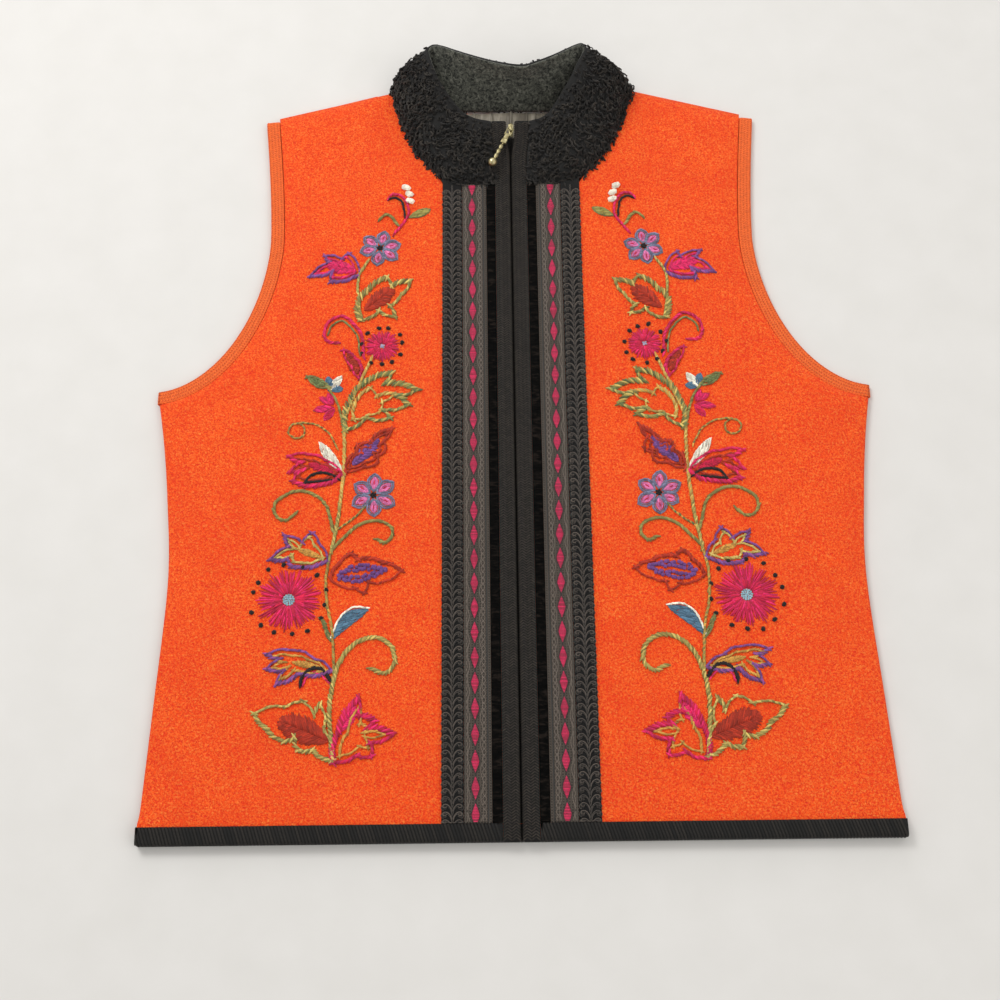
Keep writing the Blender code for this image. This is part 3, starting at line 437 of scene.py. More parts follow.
def armhole_edge(inset, count):
    """The armhole from the underarm to the shoulder, moved into the body by inset."""
    angle = np.radians(np.arange(61) * 1.5)
    x = ARM_NARROW_X + (UNDERARM_X - ARM_NARROW_X) * np.clip(np.cos(angle), 0.0, 1.0) ** ARM_POWER
    y = UNDERARM_Y + (ARM_NARROW_Y - UNDERARM_Y) * np.sin(angle) ** ARM_POWER
    part = np.arange(1, 21) / 20
    x = np.concatenate([x, ARM_NARROW_X + ARM_FLARE * part**ARM_FLARE_POWER])
    y = np.concatenate([y, ARM_NARROW_Y + (SHOULDER_TIP_Y - ARM_NARROW_Y) * part])
    even = through(np.stack([x, y], axis=1), 160)
    return through(even + inset * aside_of(unit(np.gradient(even, axis=0))), count)


def shoulder_y(across):
    """Height of the shoulder seam at a distance from the centre line."""
    slope = (SHOULDER_TIP_Y - NECK_Y) / (SHOULDER_TIP_X - NECK_X)
    return NECK_Y + slope * (across - NECK_X)


def crest(along):
    """Height of the wool's face in the strip that the trims lie on."""
    along = np.asarray(along, dtype=float)
    low = NECK_RISE * smooth((along - COLLAR_SEAM_Y + RISE_LENGTH) / RISE_LENGTH)
    part = (along - COLLAR_SEAM_Y) / (COLLAR_TOP_Y - COLLAR_SEAM_Y)
    high = NECK_RISE + COLLAR_RISE * part + COLLAR_SWELL * np.sin(math.pi * np.minimum(part, 1.0))
    window = smooth((along - WAVE_LOW) / WAVE_EASE) * smooth((WAVE_HIGH - along) / WAVE_EASE)
    wave = WAVE_HEIGHT * window * np.sin(math.tau * (along - WAVE_START) / WAVE_LENGTH)
    return CREST + np.where(along <= COLLAR_SEAM_Y, low, high) + wave


def notch(along):
    """How far each front edge turns away from the centre line round the slider."""
    return NOTCH * smooth((np.asarray(along, dtype=float) - NOTCH_FROM) / (NOTCH_FULL - NOTCH_FROM))


def swell(side, across, along):
    """Sum of the soft swells and troughs at places on a front."""
    total = np.zeros(np.broadcast(across, along).shape)
    for row_side, centre_x, centre_y, reach_x, reach_y, turn_deg, lift in SWELLS:
        if row_side != side:
            continue
        turn = math.radians(turn_deg)
        dx = across - centre_x
        dy = along - centre_y
        u = (dx * math.cos(turn) + dy * math.sin(turn)) / reach_x
        v = (dy * math.cos(turn) - dx * math.sin(turn)) / reach_y
        total = total + lift * np.exp(-(u * u + v * v))
    return total


def ripple(side, across, along, length):
    """Small smooth unevenness between -1 and 1, the same each time."""
    phase = 2.1 * side
    first = np.sin(across / length * 4.1 + 1.7 * np.sin(along / length * 2.3 + phase))
    second = np.sin(along / length * 3.7 + 1.9 * np.sin(across / length * 2.9 - phase) + 0.8)
    third = np.sin((across + along) / length * 6.3 + phase) * np.sin((across - 0.6 * along) / length * 5.1)
    return (first + second + 0.7 * third) / 2.7


def world(points):
    """Pattern millimetres as places in the frame, in metres."""
    moved = np.asarray(points, dtype=float) * MM
    return moved + np.array([0.0, HEM_AT, 0.0])


# Meshes


def mesh_piece(name, points, quads, triangles, finish, slot, fields=None, seal=False):
    """A named piece from arrays of points in pattern millimetres and of face corners."""
    mesh = bpy.data.meshes.new(name)
    mesh.vertices.add(len(points))
    mesh.vertices.foreach_set("co", world(points).ravel().astype(np.float32))
    quads = np.asarray(quads, dtype=np.int64).reshape(-1, 4)
    triangles = np.asarray(triangles, dtype=np.int64).reshape(-1, 3)
    corners = np.concatenate([quads.ravel(), triangles.ravel()])
    starts = np.concatenate([np.arange(len(quads)) * 4, len(quads) * 4 + np.arange(len(triangles)) * 3])
    mesh.loops.add(len(corners))
    mesh.loops.foreach_set("vertex_index", corners.astype(np.int32))
    mesh.polygons.add(len(starts))
    mesh.polygons.foreach_set("loop_start", starts.astype(np.int32))
    mesh.update(calc_edges=True)
    for field, (kind, values) in (fields or {}).items():
        layer = mesh.attributes.new(field, kind, "POINT")
        key = {"FLOAT": "value", "FLOAT_VECTOR": "vector", "FLOAT_COLOR": "color"}[kind]
        layer.data.foreach_set(key, np.asarray(values, dtype=np.float32).ravel())
    if seal:
        work = bmesh.new()
        work.from_mesh(mesh)
        bmesh.ops.recalc_face_normals(work, faces=work.faces)
        work.to_mesh(mesh)
        work.free()
    mesh.shade_smooth()
    made = bpy.data.objects.new(name, mesh)
    bpy.context.scene.collection.objects.link(made)
    mesh.materials.append(finish)
    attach(made, "vest")
    return made


def slab_piece(name, upper, lower, finish, slot, shown=None, mirrored=False):
    """A closed slab from an upper and a lower grid of points. Shown leaves corners of the grid out."""
    rows, columns = upper.shape[:2]
    index = np.arange(rows * columns).reshape(rows, columns)
    faces = np.stack([index[:-1, :-1], index[:-1, 1:], index[1:, 1:], index[1:, :-1]], axis=-1).reshape(-1, 4)
    if shown is not None:
        faces = faces[shown.ravel()[faces].all(axis=1)]
    if mirrored:
        faces = faces[:, ::-1]
    count = rows * columns
    edges = {(start, end) for face in faces.tolist() for start, end in zip(face, face[1:] + face[:1])}
    walls = [(start, start + count, end + count, end) for start, end in edges if (end, start) not in edges]
    walls.sort()
    quads = np.concatenate([faces, faces[:, ::-1] + count, np.array(walls)])
    points = np.concatenate([upper.reshape(-1, 3), lower.reshape(-1, 3)])
    used, compact = np.unique(quads, return_inverse=True)
    return mesh_piece(name, points[used], compact.reshape(-1, 4), [], finish, slot)


def with_poles(grid):
    """The points of a grid's rings, and after them the middles of the first and the last ring."""
    return np.concatenate([grid.reshape(-1, 3), [grid[0].mean(axis=0), grid[-1].mean(axis=0)]])


def sweep_piece(name, rings, closed, finish, slot, weave):
    """A closed skin through rings of points; the ends are filled unless the path closes on itself."""
    turns, size = rings.shape[:2]
    index = np.arange(turns * size).reshape(turns, size)
    following = np.roll(index, -1, axis=1)
    ahead = np.roll(index, -1, axis=0)
    ahead_following = np.roll(following, -1, axis=0)
    quads = np.stack([index, following, ahead_following, ahead], axis=-1)
    points, values = rings.reshape(-1, 3), weave.reshape(-1, 3)
    triangles = []
    if not closed:
        quads = quads[:-1]
        points, values = with_poles(rings), with_poles(weave)
        near, far = len(points) - 2, len(points) - 1
        triangles = [(near, second, first) for first, second in zip(index[0], following[0])]
        triangles += [(far, first, second) for first, second in zip(index[-1], following[-1])]
    fields = {"weave": ("FLOAT_VECTOR", values * MM)}
    return mesh_piece(name, points, quads.reshape(-1, 4), triangles, finish, slot, fields, seal=True)


# How far the ends of a tube stand out, in shares of its radius
TUBE_CAP = 0.4


class Heap:
    """Many small closed tubes gathered into one mesh, each with its own tint and dye."""

    def __init__(self):
        self.points = []
        self.quads = []
        self.triangles = []
        self.tints = []
        self.dyes = []
        self.total = 0

    def tubes(self, paths, radii, sides=5, flat=1.0, ups=(0.0, 0.0, 1.0), tints=0.5, dye=(1.0, 1.0, 1.0)):
        """Adds tubes along paths, an array of tube, point and place. flat squeezes them along ups."""
        paths = np.asarray(paths, dtype=float)
        count, steps = paths.shape[:2]
        ahead = np.gradient(paths, axis=1)
        ahead /= np.linalg.norm(ahead, axis=2, keepdims=True) + 1e-9
        across = np.cross(ahead, np.broadcast_to(ups, paths.shape))
        across /= np.linalg.norm(across, axis=2, keepdims=True) + 1e-9
        lift = np.cross(across, ahead)
        wide = np.broadcast_to(np.asarray(radii, dtype=float), (count, steps))
        angle = math.tau * (np.arange(sides) + 0.5) / sides
        spokes = np.cos(angle)[:, None] * across[:, :, None, :]
        spokes = spokes + flat * np.sin(angle)[:, None] * lift[:, :, None, :]
        body = paths[:, :, None, :] + wide[:, :, None, None] * spokes
        first = paths[:, 0] - TUBE_CAP * ahead[:, 0] * wide[:, 0, None]
        last = paths[:, -1] + TUBE_CAP * ahead[:, -1] * wide[:, -1, None]
        points = np.concatenate([body.reshape(count, -1, 3), first[:, None], last[:, None]], axis=1)
        size = steps * sides + 2
        index = np.arange(steps * sides).reshape(steps, sides)
        turned = np.roll(index, -1, axis=1)
        quads = np.stack([index[:-1], index[1:], turned[1:], turned[:-1]], axis=-1).reshape(-1, 4)
        start = np.stack([np.full(sides, size - 2), index[0], turned[0]], axis=-1)
        end = np.stack([np.full(sides, size - 1), turned[-1], index[-1]], axis=-1)
        triangles = np.concatenate([start, end])
        offsets = self.total + size * np.arange(count)
        self.points.append(points.reshape(-1, 3))
        self.quads.append((quads[None] + offsets[:, None, None]).reshape(-1, 4))
        self.triangles.append((triangles[None] + offsets[:, None, None]).reshape(-1, 3))
        self.tints.append(np.repeat(np.broadcast_to(tints, (count,)), size))
        dyes = np.ones((count, size, 4))
        dyes[:, :, :3] = np.broadcast_to(dye, (count, 3))[:, None, :]
        self.dyes.append(dyes.reshape(-1, 4))
        self.total += count * size

    def piece(self, name, finish, slot, ground):
        """Makes the gathered tubes one piece, which goes with the piece that it is worked on."""
        gathered = [np.concatenate(part) for part in (self.points, self.quads, self.triangles)]
        fields = {
            "tint": ("FLOAT", np.concatenate(self.tints)),
            "dye": ("FLOAT_COLOR", np.concatenate(self.dyes)),
        }
        made = mesh_piece(name, *gathered, finish, slot, fields)
        made.parent = ground
        return made


# Materials

# Noise values over which the nap's grains turn dark and pale and its mottle sets in, and the mottle's share
DARK_GRAINS = (0.50, 0.38)
PALE_GRAINS = (0.52, 0.66)
MOTTLED = (0.62, 0.36)
MOTTLE_SHARE = 0.22

# Height of the fine fibre on yarns, in metres
FIBRE_DEPTH = 0.0002

# Depth of the small wear on brass, in metres
WEAR_DEPTH = 0.00008


def shader_group(name, inputs, outputs):
    """A new shader node group with its named sockets, and its input and output nodes."""
    made = bpy.data.node_groups.new(name, "ShaderNodeTree")
    for label, kind, value in inputs:
        socket = made.interface.new_socket(label, in_out="INPUT", socket_type="NodeSocket" + kind)
        socket.default_value = value
    for label, kind in outputs:
        made.interface.new_socket(label, in_out="OUTPUT", socket_type="NodeSocket" + kind)
    return made, made.nodes.new("NodeGroupInput"), made.nodes.new("NodeGroupOutput")


def node(tree, kind, values=None, **settings):
    """Adds a node, with its settings and with values for its input sockets."""
    made = tree.nodes.new("ShaderNode" + kind)
    for key, value in settings.items():
        setattr(made, key, value)
    for key, value in (values or {}).items():
        made.inputs[key].default_value = value
    return made


def mixed(tree, share, first, second):
    """Mixes two colours, each a socket or a colour, by a share socket."""
    made = tree.nodes.new("ShaderNodeMix")
    made.data_type = "RGBA"
    tree.links.new(share, made.inputs[0])
    for socket, given in ((made.inputs[6], first), (made.inputs[7], second)):
        if isinstance(given, bpy.types.NodeSocket):
            tree.links.new(given, socket)
        else:
            socket.default_value = (*given, 1.0)
    return made.outputs[2]


def math_node(tree, operation, first, second):
    """One step of arithmetic between sockets or numbers."""
    made = tree.nodes.new("ShaderNodeMath")
    made.operation = operation
    for socket, given in zip(made.inputs, (first, second)):
        if isinstance(given, bpy.types.NodeSocket):
            tree.links.new(given, socket)
        else:
            socket.default_value = given
    return made.outputs[0]


def ranged(tree, value, low, high):
    """Brings a socket's values between low and high to 0 to 1."""
    made = tree.nodes.new("ShaderNodeMapRange")
    tree.links.new(value, made.inputs["Value"])
    made.inputs["From Min"].default_value = low
    made.inputs["From Max"].default_value = high
    return made.outputs["Result"]


def nap_group():
    """Matted fibre: grains of a darker and a paler shade over a slow mottle, and the height of the grains."""
    found = bpy.data.node_groups.get("matted_nap")
    if found:
        return found
    sockets = [
        ("Base", "Color", (1, 1, 1, 1)),
        ("Dark", "Color", (0, 0, 0, 1)),
        ("Pale", "Color", (1, 1, 1, 1)),
        ("Grain", "Float", 500.0),
        ("Mottle", "Float", 60.0),
        ("Stretch", "Vector", (1, 1, 1)),
    ]
    tree, given, made = shader_group("matted_nap", sockets, [("Colour", "Color"), ("Height", "Float")])
    place = node(tree, "TexCoord")
    stretch = node(tree, "VectorMath", operation="MULTIPLY")
    tree.links.new(place.outputs["Object"], stretch.inputs[0])
    tree.links.new(given.outputs["Stretch"], stretch.inputs[1])
    grain = node(tree, "TexNoise", {"Detail": 3.0, "Roughness": 0.65, "Distortion": 0.8})
    mottle = node(tree, "TexNoise", {"Detail": 2.0, "Roughness": 0.5})
    for texture, scale in ((grain, "Grain"), (mottle, "Mottle")):
        tree.links.new(stretch.outputs[0], texture.inputs["Vector"])
        tree.links.new(given.outputs[scale], texture.inputs["Scale"])
    dark = ranged(tree, grain.outputs["Fac"], *DARK_GRAINS)
    pale = ranged(tree, grain.outputs["Fac"], *PALE_GRAINS)
    first = mixed(tree, dark, given.outputs["Base"], given.outputs["Dark"])
    second = mixed(tree, pale, first, given.outputs["Pale"])
    slow = math_node(tree, "MULTIPLY", ranged(tree, mottle.outputs["Fac"], *MOTTLED), MOTTLE_SHARE)
    tree.links.new(mixed(tree, slow, second, given.outputs["Dark"]), made.inputs["Colour"])
    tree.links.new(grain.outputs["Fac"], made.inputs["Height"])
    return tree


def rib_group():
    """Ribs along and across a woven or knitted strip, from its own weave coordinates in metres, and where to
    paint shade in their hollows.
    """
    found = bpy.data.node_groups.get("woven_ribs")
    if found:
        return found
    sockets = [("Along", "Float", 1000.0), ("Across", "Float", 1000.0), ("Slant", "Float", 0.0)]
    tree, given, made = shader_group("woven_ribs", sockets, [("Height", "Float"), ("Hollow shade", "Float")])
    place = node(tree, "Attribute", attribute_name="weave")
    parts = node(tree, "SeparateXYZ")
    tree.links.new(place.outputs["Vector"], parts.inputs[0])
    aside = math_node(tree, "ABSOLUTE", parts.outputs["Y"], 0.0)
    bent = math_node(tree, "MULTIPLY", aside, given.outputs["Slant"])
    run = math_node(tree, "ADD", parts.outputs["X"], bent)
    waves = []
    for value, scale in ((run, "Along"), (parts.outputs["Y"], "Across")):
        turned = math_node(tree, "MULTIPLY", value, given.outputs[scale])
        waves.append(math_node(tree, "SINE", math_node(tree, "MULTIPLY", turned, math.tau), 0.0))
    both = math_node(tree, "MULTIPLY", waves[0], waves[1])
    height = ranged(tree, math_node(tree, "ADD", math_node(tree, "MULTIPLY", waves[0], 0.6), both), -1.5, 1.5)
    tree.links.new(height, made.inputs["Height"])
    # Hollow shade: a share that is 1 where the ribs dip, used for painted shade
    tree.links.new(ranged(tree, height, 0.6, 0.25), made.inputs["Hollow shade"])
    return tree


def object_noise(tree, scale, detail, roughness=0.5):
    """Noise on the piece's own coordinates, as a socket."""
    place = node(tree, "TexCoord")
    made = node(tree, "TexNoise", {"Scale": scale, "Detail": detail, "Roughness": roughness})
    tree.links.new(place.outputs["Object"], made.inputs["Vector"])
    return made.outputs["Fac"]


def finish_material(name, roughness, constants=None):
    """A new Principled material, its tree and its shader. Constants are set on the shader's own sockets."""
    made = bpy.data.materials.new(LOOK + name)
    made.use_nodes = True
    tree = made.node_tree
    shader = tree.nodes["Principled BSDF"]
    shader.inputs["Roughness"].default_value = roughness
    for key, value in (constants or {}).items():
        shader.inputs[key].default_value = value
    return made, tree, shader


def bump(tree, shader, height, distance, strength=1.0):
    """Leads a height to the shader's normal."""
    made = node(tree, "Bump", {"Distance": distance, "Strength": strength})
    tree.links.new(height, made.inputs["Height"])
    tree.links.new(made.outputs["Normal"], shader.inputs["Normal"])


def nap_material(name, base, dark, pale, grain, mottle, depth, roughness, constants=None, stretch=(1, 1, 1)):
    """Matted or brushed cloth, coloured by its grains."""
    found = bpy.data.materials.get(LOOK + name)
    if found:
        return found
    made, tree, shader = finish_material(name, roughness, constants)
    values = {"Base": (*base, 1), "Dark": (*dark, 1), "Pale": (*pale, 1)}
    values.update({"Grain": grain, "Mottle": mottle, "Stretch": stretch})
    nap = node(tree, "Group", values, node_tree=nap_group())
    tree.links.new(nap.outputs["Colour"], shader.inputs["Base Color"])
    bump(tree, shader, nap.outputs["Height"], depth)
    return made


def rib_material(name, base, hollow_shade, along, across, slant, depth, roughness, constants=None):
    """A woven or knitted strip, with ribs from its own coordinates, a little uneven colour and painted shade
    in the hollows.
    """
    found = bpy.data.materials.get(LOOK + name)
    if found:
        return found
    made, tree, shader = finish_material(name, roughness, constants)
    ribs = node(tree, "Group", {"Along": along, "Across": across, "Slant": slant}, node_tree=rib_group())
    uneven = object_noise(tree, 700.0, 2.0)
    faded = mixed(tree, ranged(tree, uneven, 0.35, 0.7), base, scaled(base, 0.72))
    # The hollow colour is painted shade, mixed in where the ribs dip
    tree.links.new(mixed(tree, ribs.outputs["Hollow shade"], faded, hollow_shade), shader.inputs["Base Color"])
    roughened = math_node(tree, "MULTIPLY", uneven, 0.6)
    bump(tree, shader, math_node(tree, "ADD", ribs.outputs["Height"], roughened), depth)
    return made


def thread_material(name, base, pale, roughness, constants=None, dyed=False, twist=1400.0):
    """Spun thread, cord or hair: a tint for each one, and fine fibre along it."""
    found = bpy.data.materials.get(LOOK + name)
    if found:
        return found
    made, tree, shader = finish_material(name, roughness, constants)
    tint = node(tree, "Attribute", attribute_name="tint")
    fibre = object_noise(tree, twist, 3.0, 0.6)
    share = math_node(tree, "MULTIPLY", tint.outputs["Fac"], ranged(tree, fibre, 0.25, 0.75))
    if dyed:
        dye = node(tree, "Attribute", attribute_name="dye")
        dark = node(tree, "Mix", data_type="RGBA", blend_type="MULTIPLY")
        dark.inputs[0].default_value = 1.0
        dark.inputs[7].default_value = (0.5, 0.46, 0.46, 1.0)
        tree.links.new(dye.outputs["Color"], dark.inputs[6])
        colour = mixed(tree, ranged(tree, share, 0.0, 0.42), dark.outputs[2], dye.outputs["Color"])
    else:
        colour = mixed(tree, share, base, pale)
    tree.links.new(colour, shader.inputs["Base Color"])
    bump(tree, shader, fibre, FIBRE_DEPTH, 0.7)
    return made


def wool_material(cloth):
    """The boiled wool of the fronts and the back."""
    return nap_material(
        "boiled_wool", tuple(cloth.wool_colour), linear(232, 42, 0), linear(255, 134, 54),
        grain=820.0, mottle=45.0, depth=0.0015, roughness=0.95,
        constants={"Sheen Weight": 0.05, "Sheen Roughness": 0.6, "Sheen Tint": (*linear(255, 150, 110), 1)},
    )


# Cloth pieces

# Rows of the wool near the bound hem, and where its even rows start
HEM_ROWS = (2.3, 7.0, 12.2, 14.6, 18.0, 22.5, 27.0)
EVEN_FROM = 32.0

# Columns of a front under the trims, from the centre line, and those at its rounded edge, from the edge
STRIP_COLUMNS = (2.3, 7.0, 12.2, 14.6, 22.0, 30.0, 37.0, 44.0)
EDGE_COLUMNS = (1.6, 0.9, 0.4, 0.1, 0.0)

# Width of a front beside the trims, for the count of its even columns
FIELD_WIDTH = 200.0


def deselect():
    """Leaves nothing selected, so that an operator acts only on what it adds."""
    bpy.ops.object.select_all(action="DESELECT")


def body_rows(step):
    """Heights of the rows from the hem to the underarm, closer at the bound edge."""
    top = UNDERARM_Y - BAND_WIDTH - BAND_SEAM
    count = int(round((top - EVEN_FROM) / step)) + 1
    return np.concatenate([HEM_ROWS, np.linspace(EVEN_FROM, top, count)])


def outer_edge(rows, climbing, inset):
    """A panel's outer edge, row by row: the side seam, then the armhole up to the shoulder."""
    side = np.stack([side_x(rows), rows], axis=1)
    seam = armhole_edge(inset, 160)
    seam = seam[seam[:, 0] < side[-1, 0] - 4.0]
    seam[-1, 1] = shoulder_y(seam[-1, 0]) - SHOULDER_SEAM
    climb = through(np.concatenate([side[-1:], seam]), climbing + 1)
    return np.concatenate([side, climb[1:]])


def edge_drop(distance, depth):
    """Rounding of a face down towards an edge."""
    near = np.clip(1.0 - distance / EDGE_ROUND, 0.0, 1.0)
    return depth * (1.0 - np.sqrt(1.0 - near**2))


def front_grids(side, step, undulation):
    """Upper and lower grids of a front, and which of their points are cloth."""
    rows = body_rows(step)
    chest_rows, neck_rows = 36, 20
    outer = outer_edge(rows, chest_rows + neck_rows, BODY_INSET)
    chest = np.linspace(rows[-1], COLLAR_SEAM_Y + 0.8, chest_rows + 1)[1:]
    straight = np.concatenate([rows, chest])
    neck = through(NECKLINE, neck_rows + 1)[1:]
    neck[:, 0] += side * NECK_LEAN * np.arange(1, neck_rows + 1) / neck_rows
    inner = np.concatenate([np.stack([np.full(len(straight), TRIM_ZONE), straight], axis=1), neck])
    climbed = np.clip((np.arange(len(inner)) - len(straight) + 1) / neck_rows, 0.0, 1.0)
    at_neck = (CREST + NECK_RISE - FRONT_LIFT) * (1.0 - smooth(climbed))
    inner_height = np.where(climbed > 0.0, at_neck, crest(inner[:, 1]) - FRONT_LIFT)
    length = np.linalg.norm(outer - inner, axis=1)
    columns = int(round(FIELD_WIDTH / step))
    share = np.linspace(0.0, 1.0, columns)
    body = share[None, :] * (length[:, None] - EDGE_ROUND)
    edge = length[:, None] - np.array(EDGE_COLUMNS)
    run = np.concatenate([body, edge], axis=1)
    spot = inner[:, None, :] + (outer - inner)[:, None, :] * (run / length[:, None])[:, :, None]
    across, along = spot[..., 0], spot[..., 1]
    from_outer = length[:, None] - run
    near = 1.0 - smooth(run / TRIM_REACH)
    height = inner_height[:, None] * near + (FIELD_LOFT + swell(side, across, along)) * (1.0 - near)
    height = height + undulation * ripple(side, across, along, RIPPLE_LENGTH) * smooth(run / TRIM_EASE)
    above_hem = smooth((along - HEM_WIDTH) / HEM_EASE)
    height = (CREST - FRONT_LIFT) * (1.0 - above_hem) + height * above_hem
    from_ridge = along - RIDGE_Y - RIDGE_SWAY * np.sin(across / RIDGE_SWAY_LENGTH)
    hem_ridge = RIDGE_HEIGHT * np.exp(-((from_ridge / RIDGE_HALF) ** 2))
    height = height + hem_ridge * smooth(from_outer / RIDGE_EASE)
    dropped = (1.0 - smooth(from_outer / SIDE_EASE)) * smooth((along - HEM_WIDTH - 1.0) / 12.0)
    height = height * (1.0 - dropped) * smooth((shoulder_y(across) - along) / SHOULDER_EASE)
    depth = np.where(np.arange(len(outer)) < len(rows), SIDE_ROUND, ARM_ROUND)[:, None]
    drop = edge_drop(from_outer, depth) * smooth((along - HEM_WIDTH - 1.0) / 6.0)
    drop[-1] = np.maximum(drop[-1], SHOULDER_ROUND)
    face = FRONT_LIFT + height - drop
    thick = np.where(along < HEM_BOUND, WOOL_BOUND, WOOL)
    field = places(across, along, face)
    under = places(across, along, np.maximum(FRONT_LIFT + height - thick, WOOL + GAP))
    strip_x = np.array(STRIP_COLUMNS)
    strip_y = inner[:, 1][:, None]
    strip = places(strip_x + notch(strip_y), strip_y, crest(strip_y))
    held = (strip_x < BINDING_OUTER + 0.4) | (strip_y < HEM_BOUND)
    strip_under = places(strip_x + notch(strip_y), strip_y, crest(strip_y) - np.where(held, WOOL_BOUND, WOOL))
    upper = np.concatenate([strip, field], axis=1)
    lower = np.concatenate([strip_under, under], axis=1)
    shown = np.ones(upper.shape[:2], dtype=bool)
    shown[len(straight) :, : len(strip_x)] = False
    upper[..., 0] *= side
    lower[..., 0] *= side
    return upper, lower, shown


class VEST_OT_wool_fronts(bpy.types.Operator):
    """Lays the two boiled-wool fronts over the back"""

    bl_idname = "vest.wool_fronts"
    bl_label = "Wool fronts"

    def execute(self, context):
        cloth = context.scene.vest_cloth
        finish = wool_material(cloth)
        for label, side in SIDES:
            upper, lower, shown = front_grids(side, cloth.wool_step / MM, cloth.undulation / MM)
            name = f"wool_front_{label}"
            made = slab_piece(name, upper, lower, finish, "boiled_wool", shown=shown, mirrored=side < 0)
            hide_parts(f"front_panel_{label}")
        return {"FINISHED"}


class VEST_OT_wool_back(bpy.types.Operator):
    """Lays the boiled-wool back flat, in one piece from side to side"""

    bl_idname = "vest.wool_back"
    bl_label = "Wool back"

    def execute(self, context):
        rows = body_rows(9.0)
        climbing = 28
        outer = outer_edge(rows, climbing, BODY_INSET)
        climb = np.linspace(rows[-1], BACK_NECK_Y, climbing + 1)[1:]
        centre = np.stack([np.zeros(len(outer)), np.concatenate([rows, climb])], axis=1)
        shares = [np.linspace(0.0, NECK_SHARE, 14), np.linspace(0.57, 0.985, 11), [0.992, 0.997, 1.0]]
        shares = np.concatenate(shares)
        neck = through(BACK_NECK, 60)
        step = (np.arange(len(outer)) - len(rows) + 1) / climbing
        pull = np.clip(step, 0.0, 1.0) ** 1.6
        halves = []
        for side in (-1, 1):
            neck_part = np.clip(shares / NECK_SHARE, 0.0, 1.0)
            top = np.stack([np.interp(neck_part, np.linspace(0, 1, 60), neck[:, k]) for k in (0, 1)], axis=1)
            top[:, 0] += side * NECK_LEAN * neck_part
            first = np.array([NECK_X + 2.0, shoulder_y(NECK_X + 2.0) - SHOULDER_SEAM])
            part = np.clip((shares - NECK_SHARE) / (1.0 - NECK_SHARE), 0.0, 1.0)[:, None]
            top = np.where(part > 0.0, first + (outer[-1] - first) * part, top)
            spot = centre[:, None, :] + (outer - centre)[:, None, :] * shares[None, :, None]
            straight = centre[-1] + (outer[-1] - centre[-1]) * shares[:, None]
            spot = spot + pull[:, None, None] * (top - straight)[None]
            spot[..., 0] *= side
            halves.append(spot[:, ::-1] if side < 0 else spot[:, 1:])
        spot = np.concatenate(halves, axis=1)
        reach = np.linalg.norm(outer - centre, axis=1)[:, None] * (1.0 - shares)[None, :]
        from_outer = np.concatenate([reach[:, ::-1], reach[:, 1:]], axis=1)
        bound = spot[..., 1] < HEM_BOUND
        rounded = edge_drop(from_outer, 0.9) * ~bound
        high = np.where(bound, 2.9, WOOL) - rounded
        low = np.where(bound, 1.3, 0.0) + rounded
        upper = np.concatenate([spot, high[..., None]], axis=-1)
        lower = np.concatenate([spot, low[..., None]], axis=-1)
        finish = wool_material(context.scene.vest_cloth)
        made = slab_piece("wool_back", upper, lower, finish, "boiled_wool")
        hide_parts("back_panel")
        return {"FINISHED"}


def band_rings(side):
    """Rings of the folded armhole band, with its coordinates along and across, in millimetres."""
    front_z = 1.5 * BAND_KNIT + GAP
    back_z = 0.5 * BAND_KNIT
    radius = (front_z - back_z) / 2.0
    reach = radius + BAND_KNIT / 2.0
    path = armhole_edge(BAND_WIDTH / 2.0, 90)
    keep = (path[:, 0] < UNDERARM_X - reach - 3.0) & (path[:, 1] < SHOULDER_TIP_Y - 6.0)
    start = np.array([[UNDERARM_X - reach, UNDERARM_Y - BAND_WIDTH / 2.0]])
    last = np.array([[SHOULDER_TIP_X - BAND_WIDTH / 2.0 - 0.4, SHOULDER_TIP_Y - reach]])
    path = np.concatenate([start, path[keep], last])
    ahead = np.gradient(path, axis=0)
    ahead[0] = (-1.0, 0.0)
    ahead[-1] = (0.08, 1.0)
    ahead = unit(ahead)
    middle = (front_z + back_z) / 2.0
    half = BAND_WIDTH / 2.0
    thick = BAND_KNIT / 2.0
    section = [(-half, 0.0), (-half + 0.3, 0.7), (-half + 1.0, 1.0), (-half + 2.2, 0.86)]
    section += [(0.0, 1.0), (half - 1.6, 1.0), (half - 0.5, 0.92), (half, 0.5)]
    section += [(across, -through_cloth) for across, through_cloth in section[:0:-1]]
    rings = []
    weave = []
    travelled = 0.0

    def ring(spot, direction, lift, height):
        across_cloth = np.array([-direction[1], direction[0], 0.0])
        normal = np.array([direction[0] * lift[0], direction[1] * lift[0], lift[1]])
        centre = np.array([spot[0], spot[1], height])
        points = [centre + a * across_cloth + t * thick * normal for a, t in section]
        rings.append([(side * point[0], point[1], point[2]) for point in points])
        weave.append([(travelled, a, 0.0) for a, _ in section])

    for number, (spot, direction) in enumerate(zip(path, ahead)):
        travelled += 0.0 if number == 0 else float(np.linalg.norm(spot - path[number - 1]))
        ring(spot, direction, (0.0, 1.0), front_z)
    for angle in np.radians([30.0, 60.0, 90.0, 120.0, 150.0]):
        travelled += radius * math.radians(30.0)
        spot = path[-1] + ahead[-1] * radius * math.sin(angle)
        ring(spot, ahead[-1], (math.sin(angle), math.cos(angle)), middle + radius * math.cos(angle))
    for number, (spot, direction) in enumerate(zip(path[::-1], ahead[::-1])):
        travelled += 1.0 if number == 0 else float(np.linalg.norm(spot - path[::-1][number - 1]))
        ring(spot, direction, (0.0, -1.0), back_z)
    for angle in np.radians([150.0, 120.0, 90.0, 60.0, 30.0]):
        travelled += radius * math.radians(30.0)
        spot = path[0] - ahead[0] * radius * math.sin(angle)
        ring(spot, ahead[0], (-math.sin(angle), math.cos(angle)), middle + radius * math.cos(angle))
    return np.array(rings), np.array(weave)


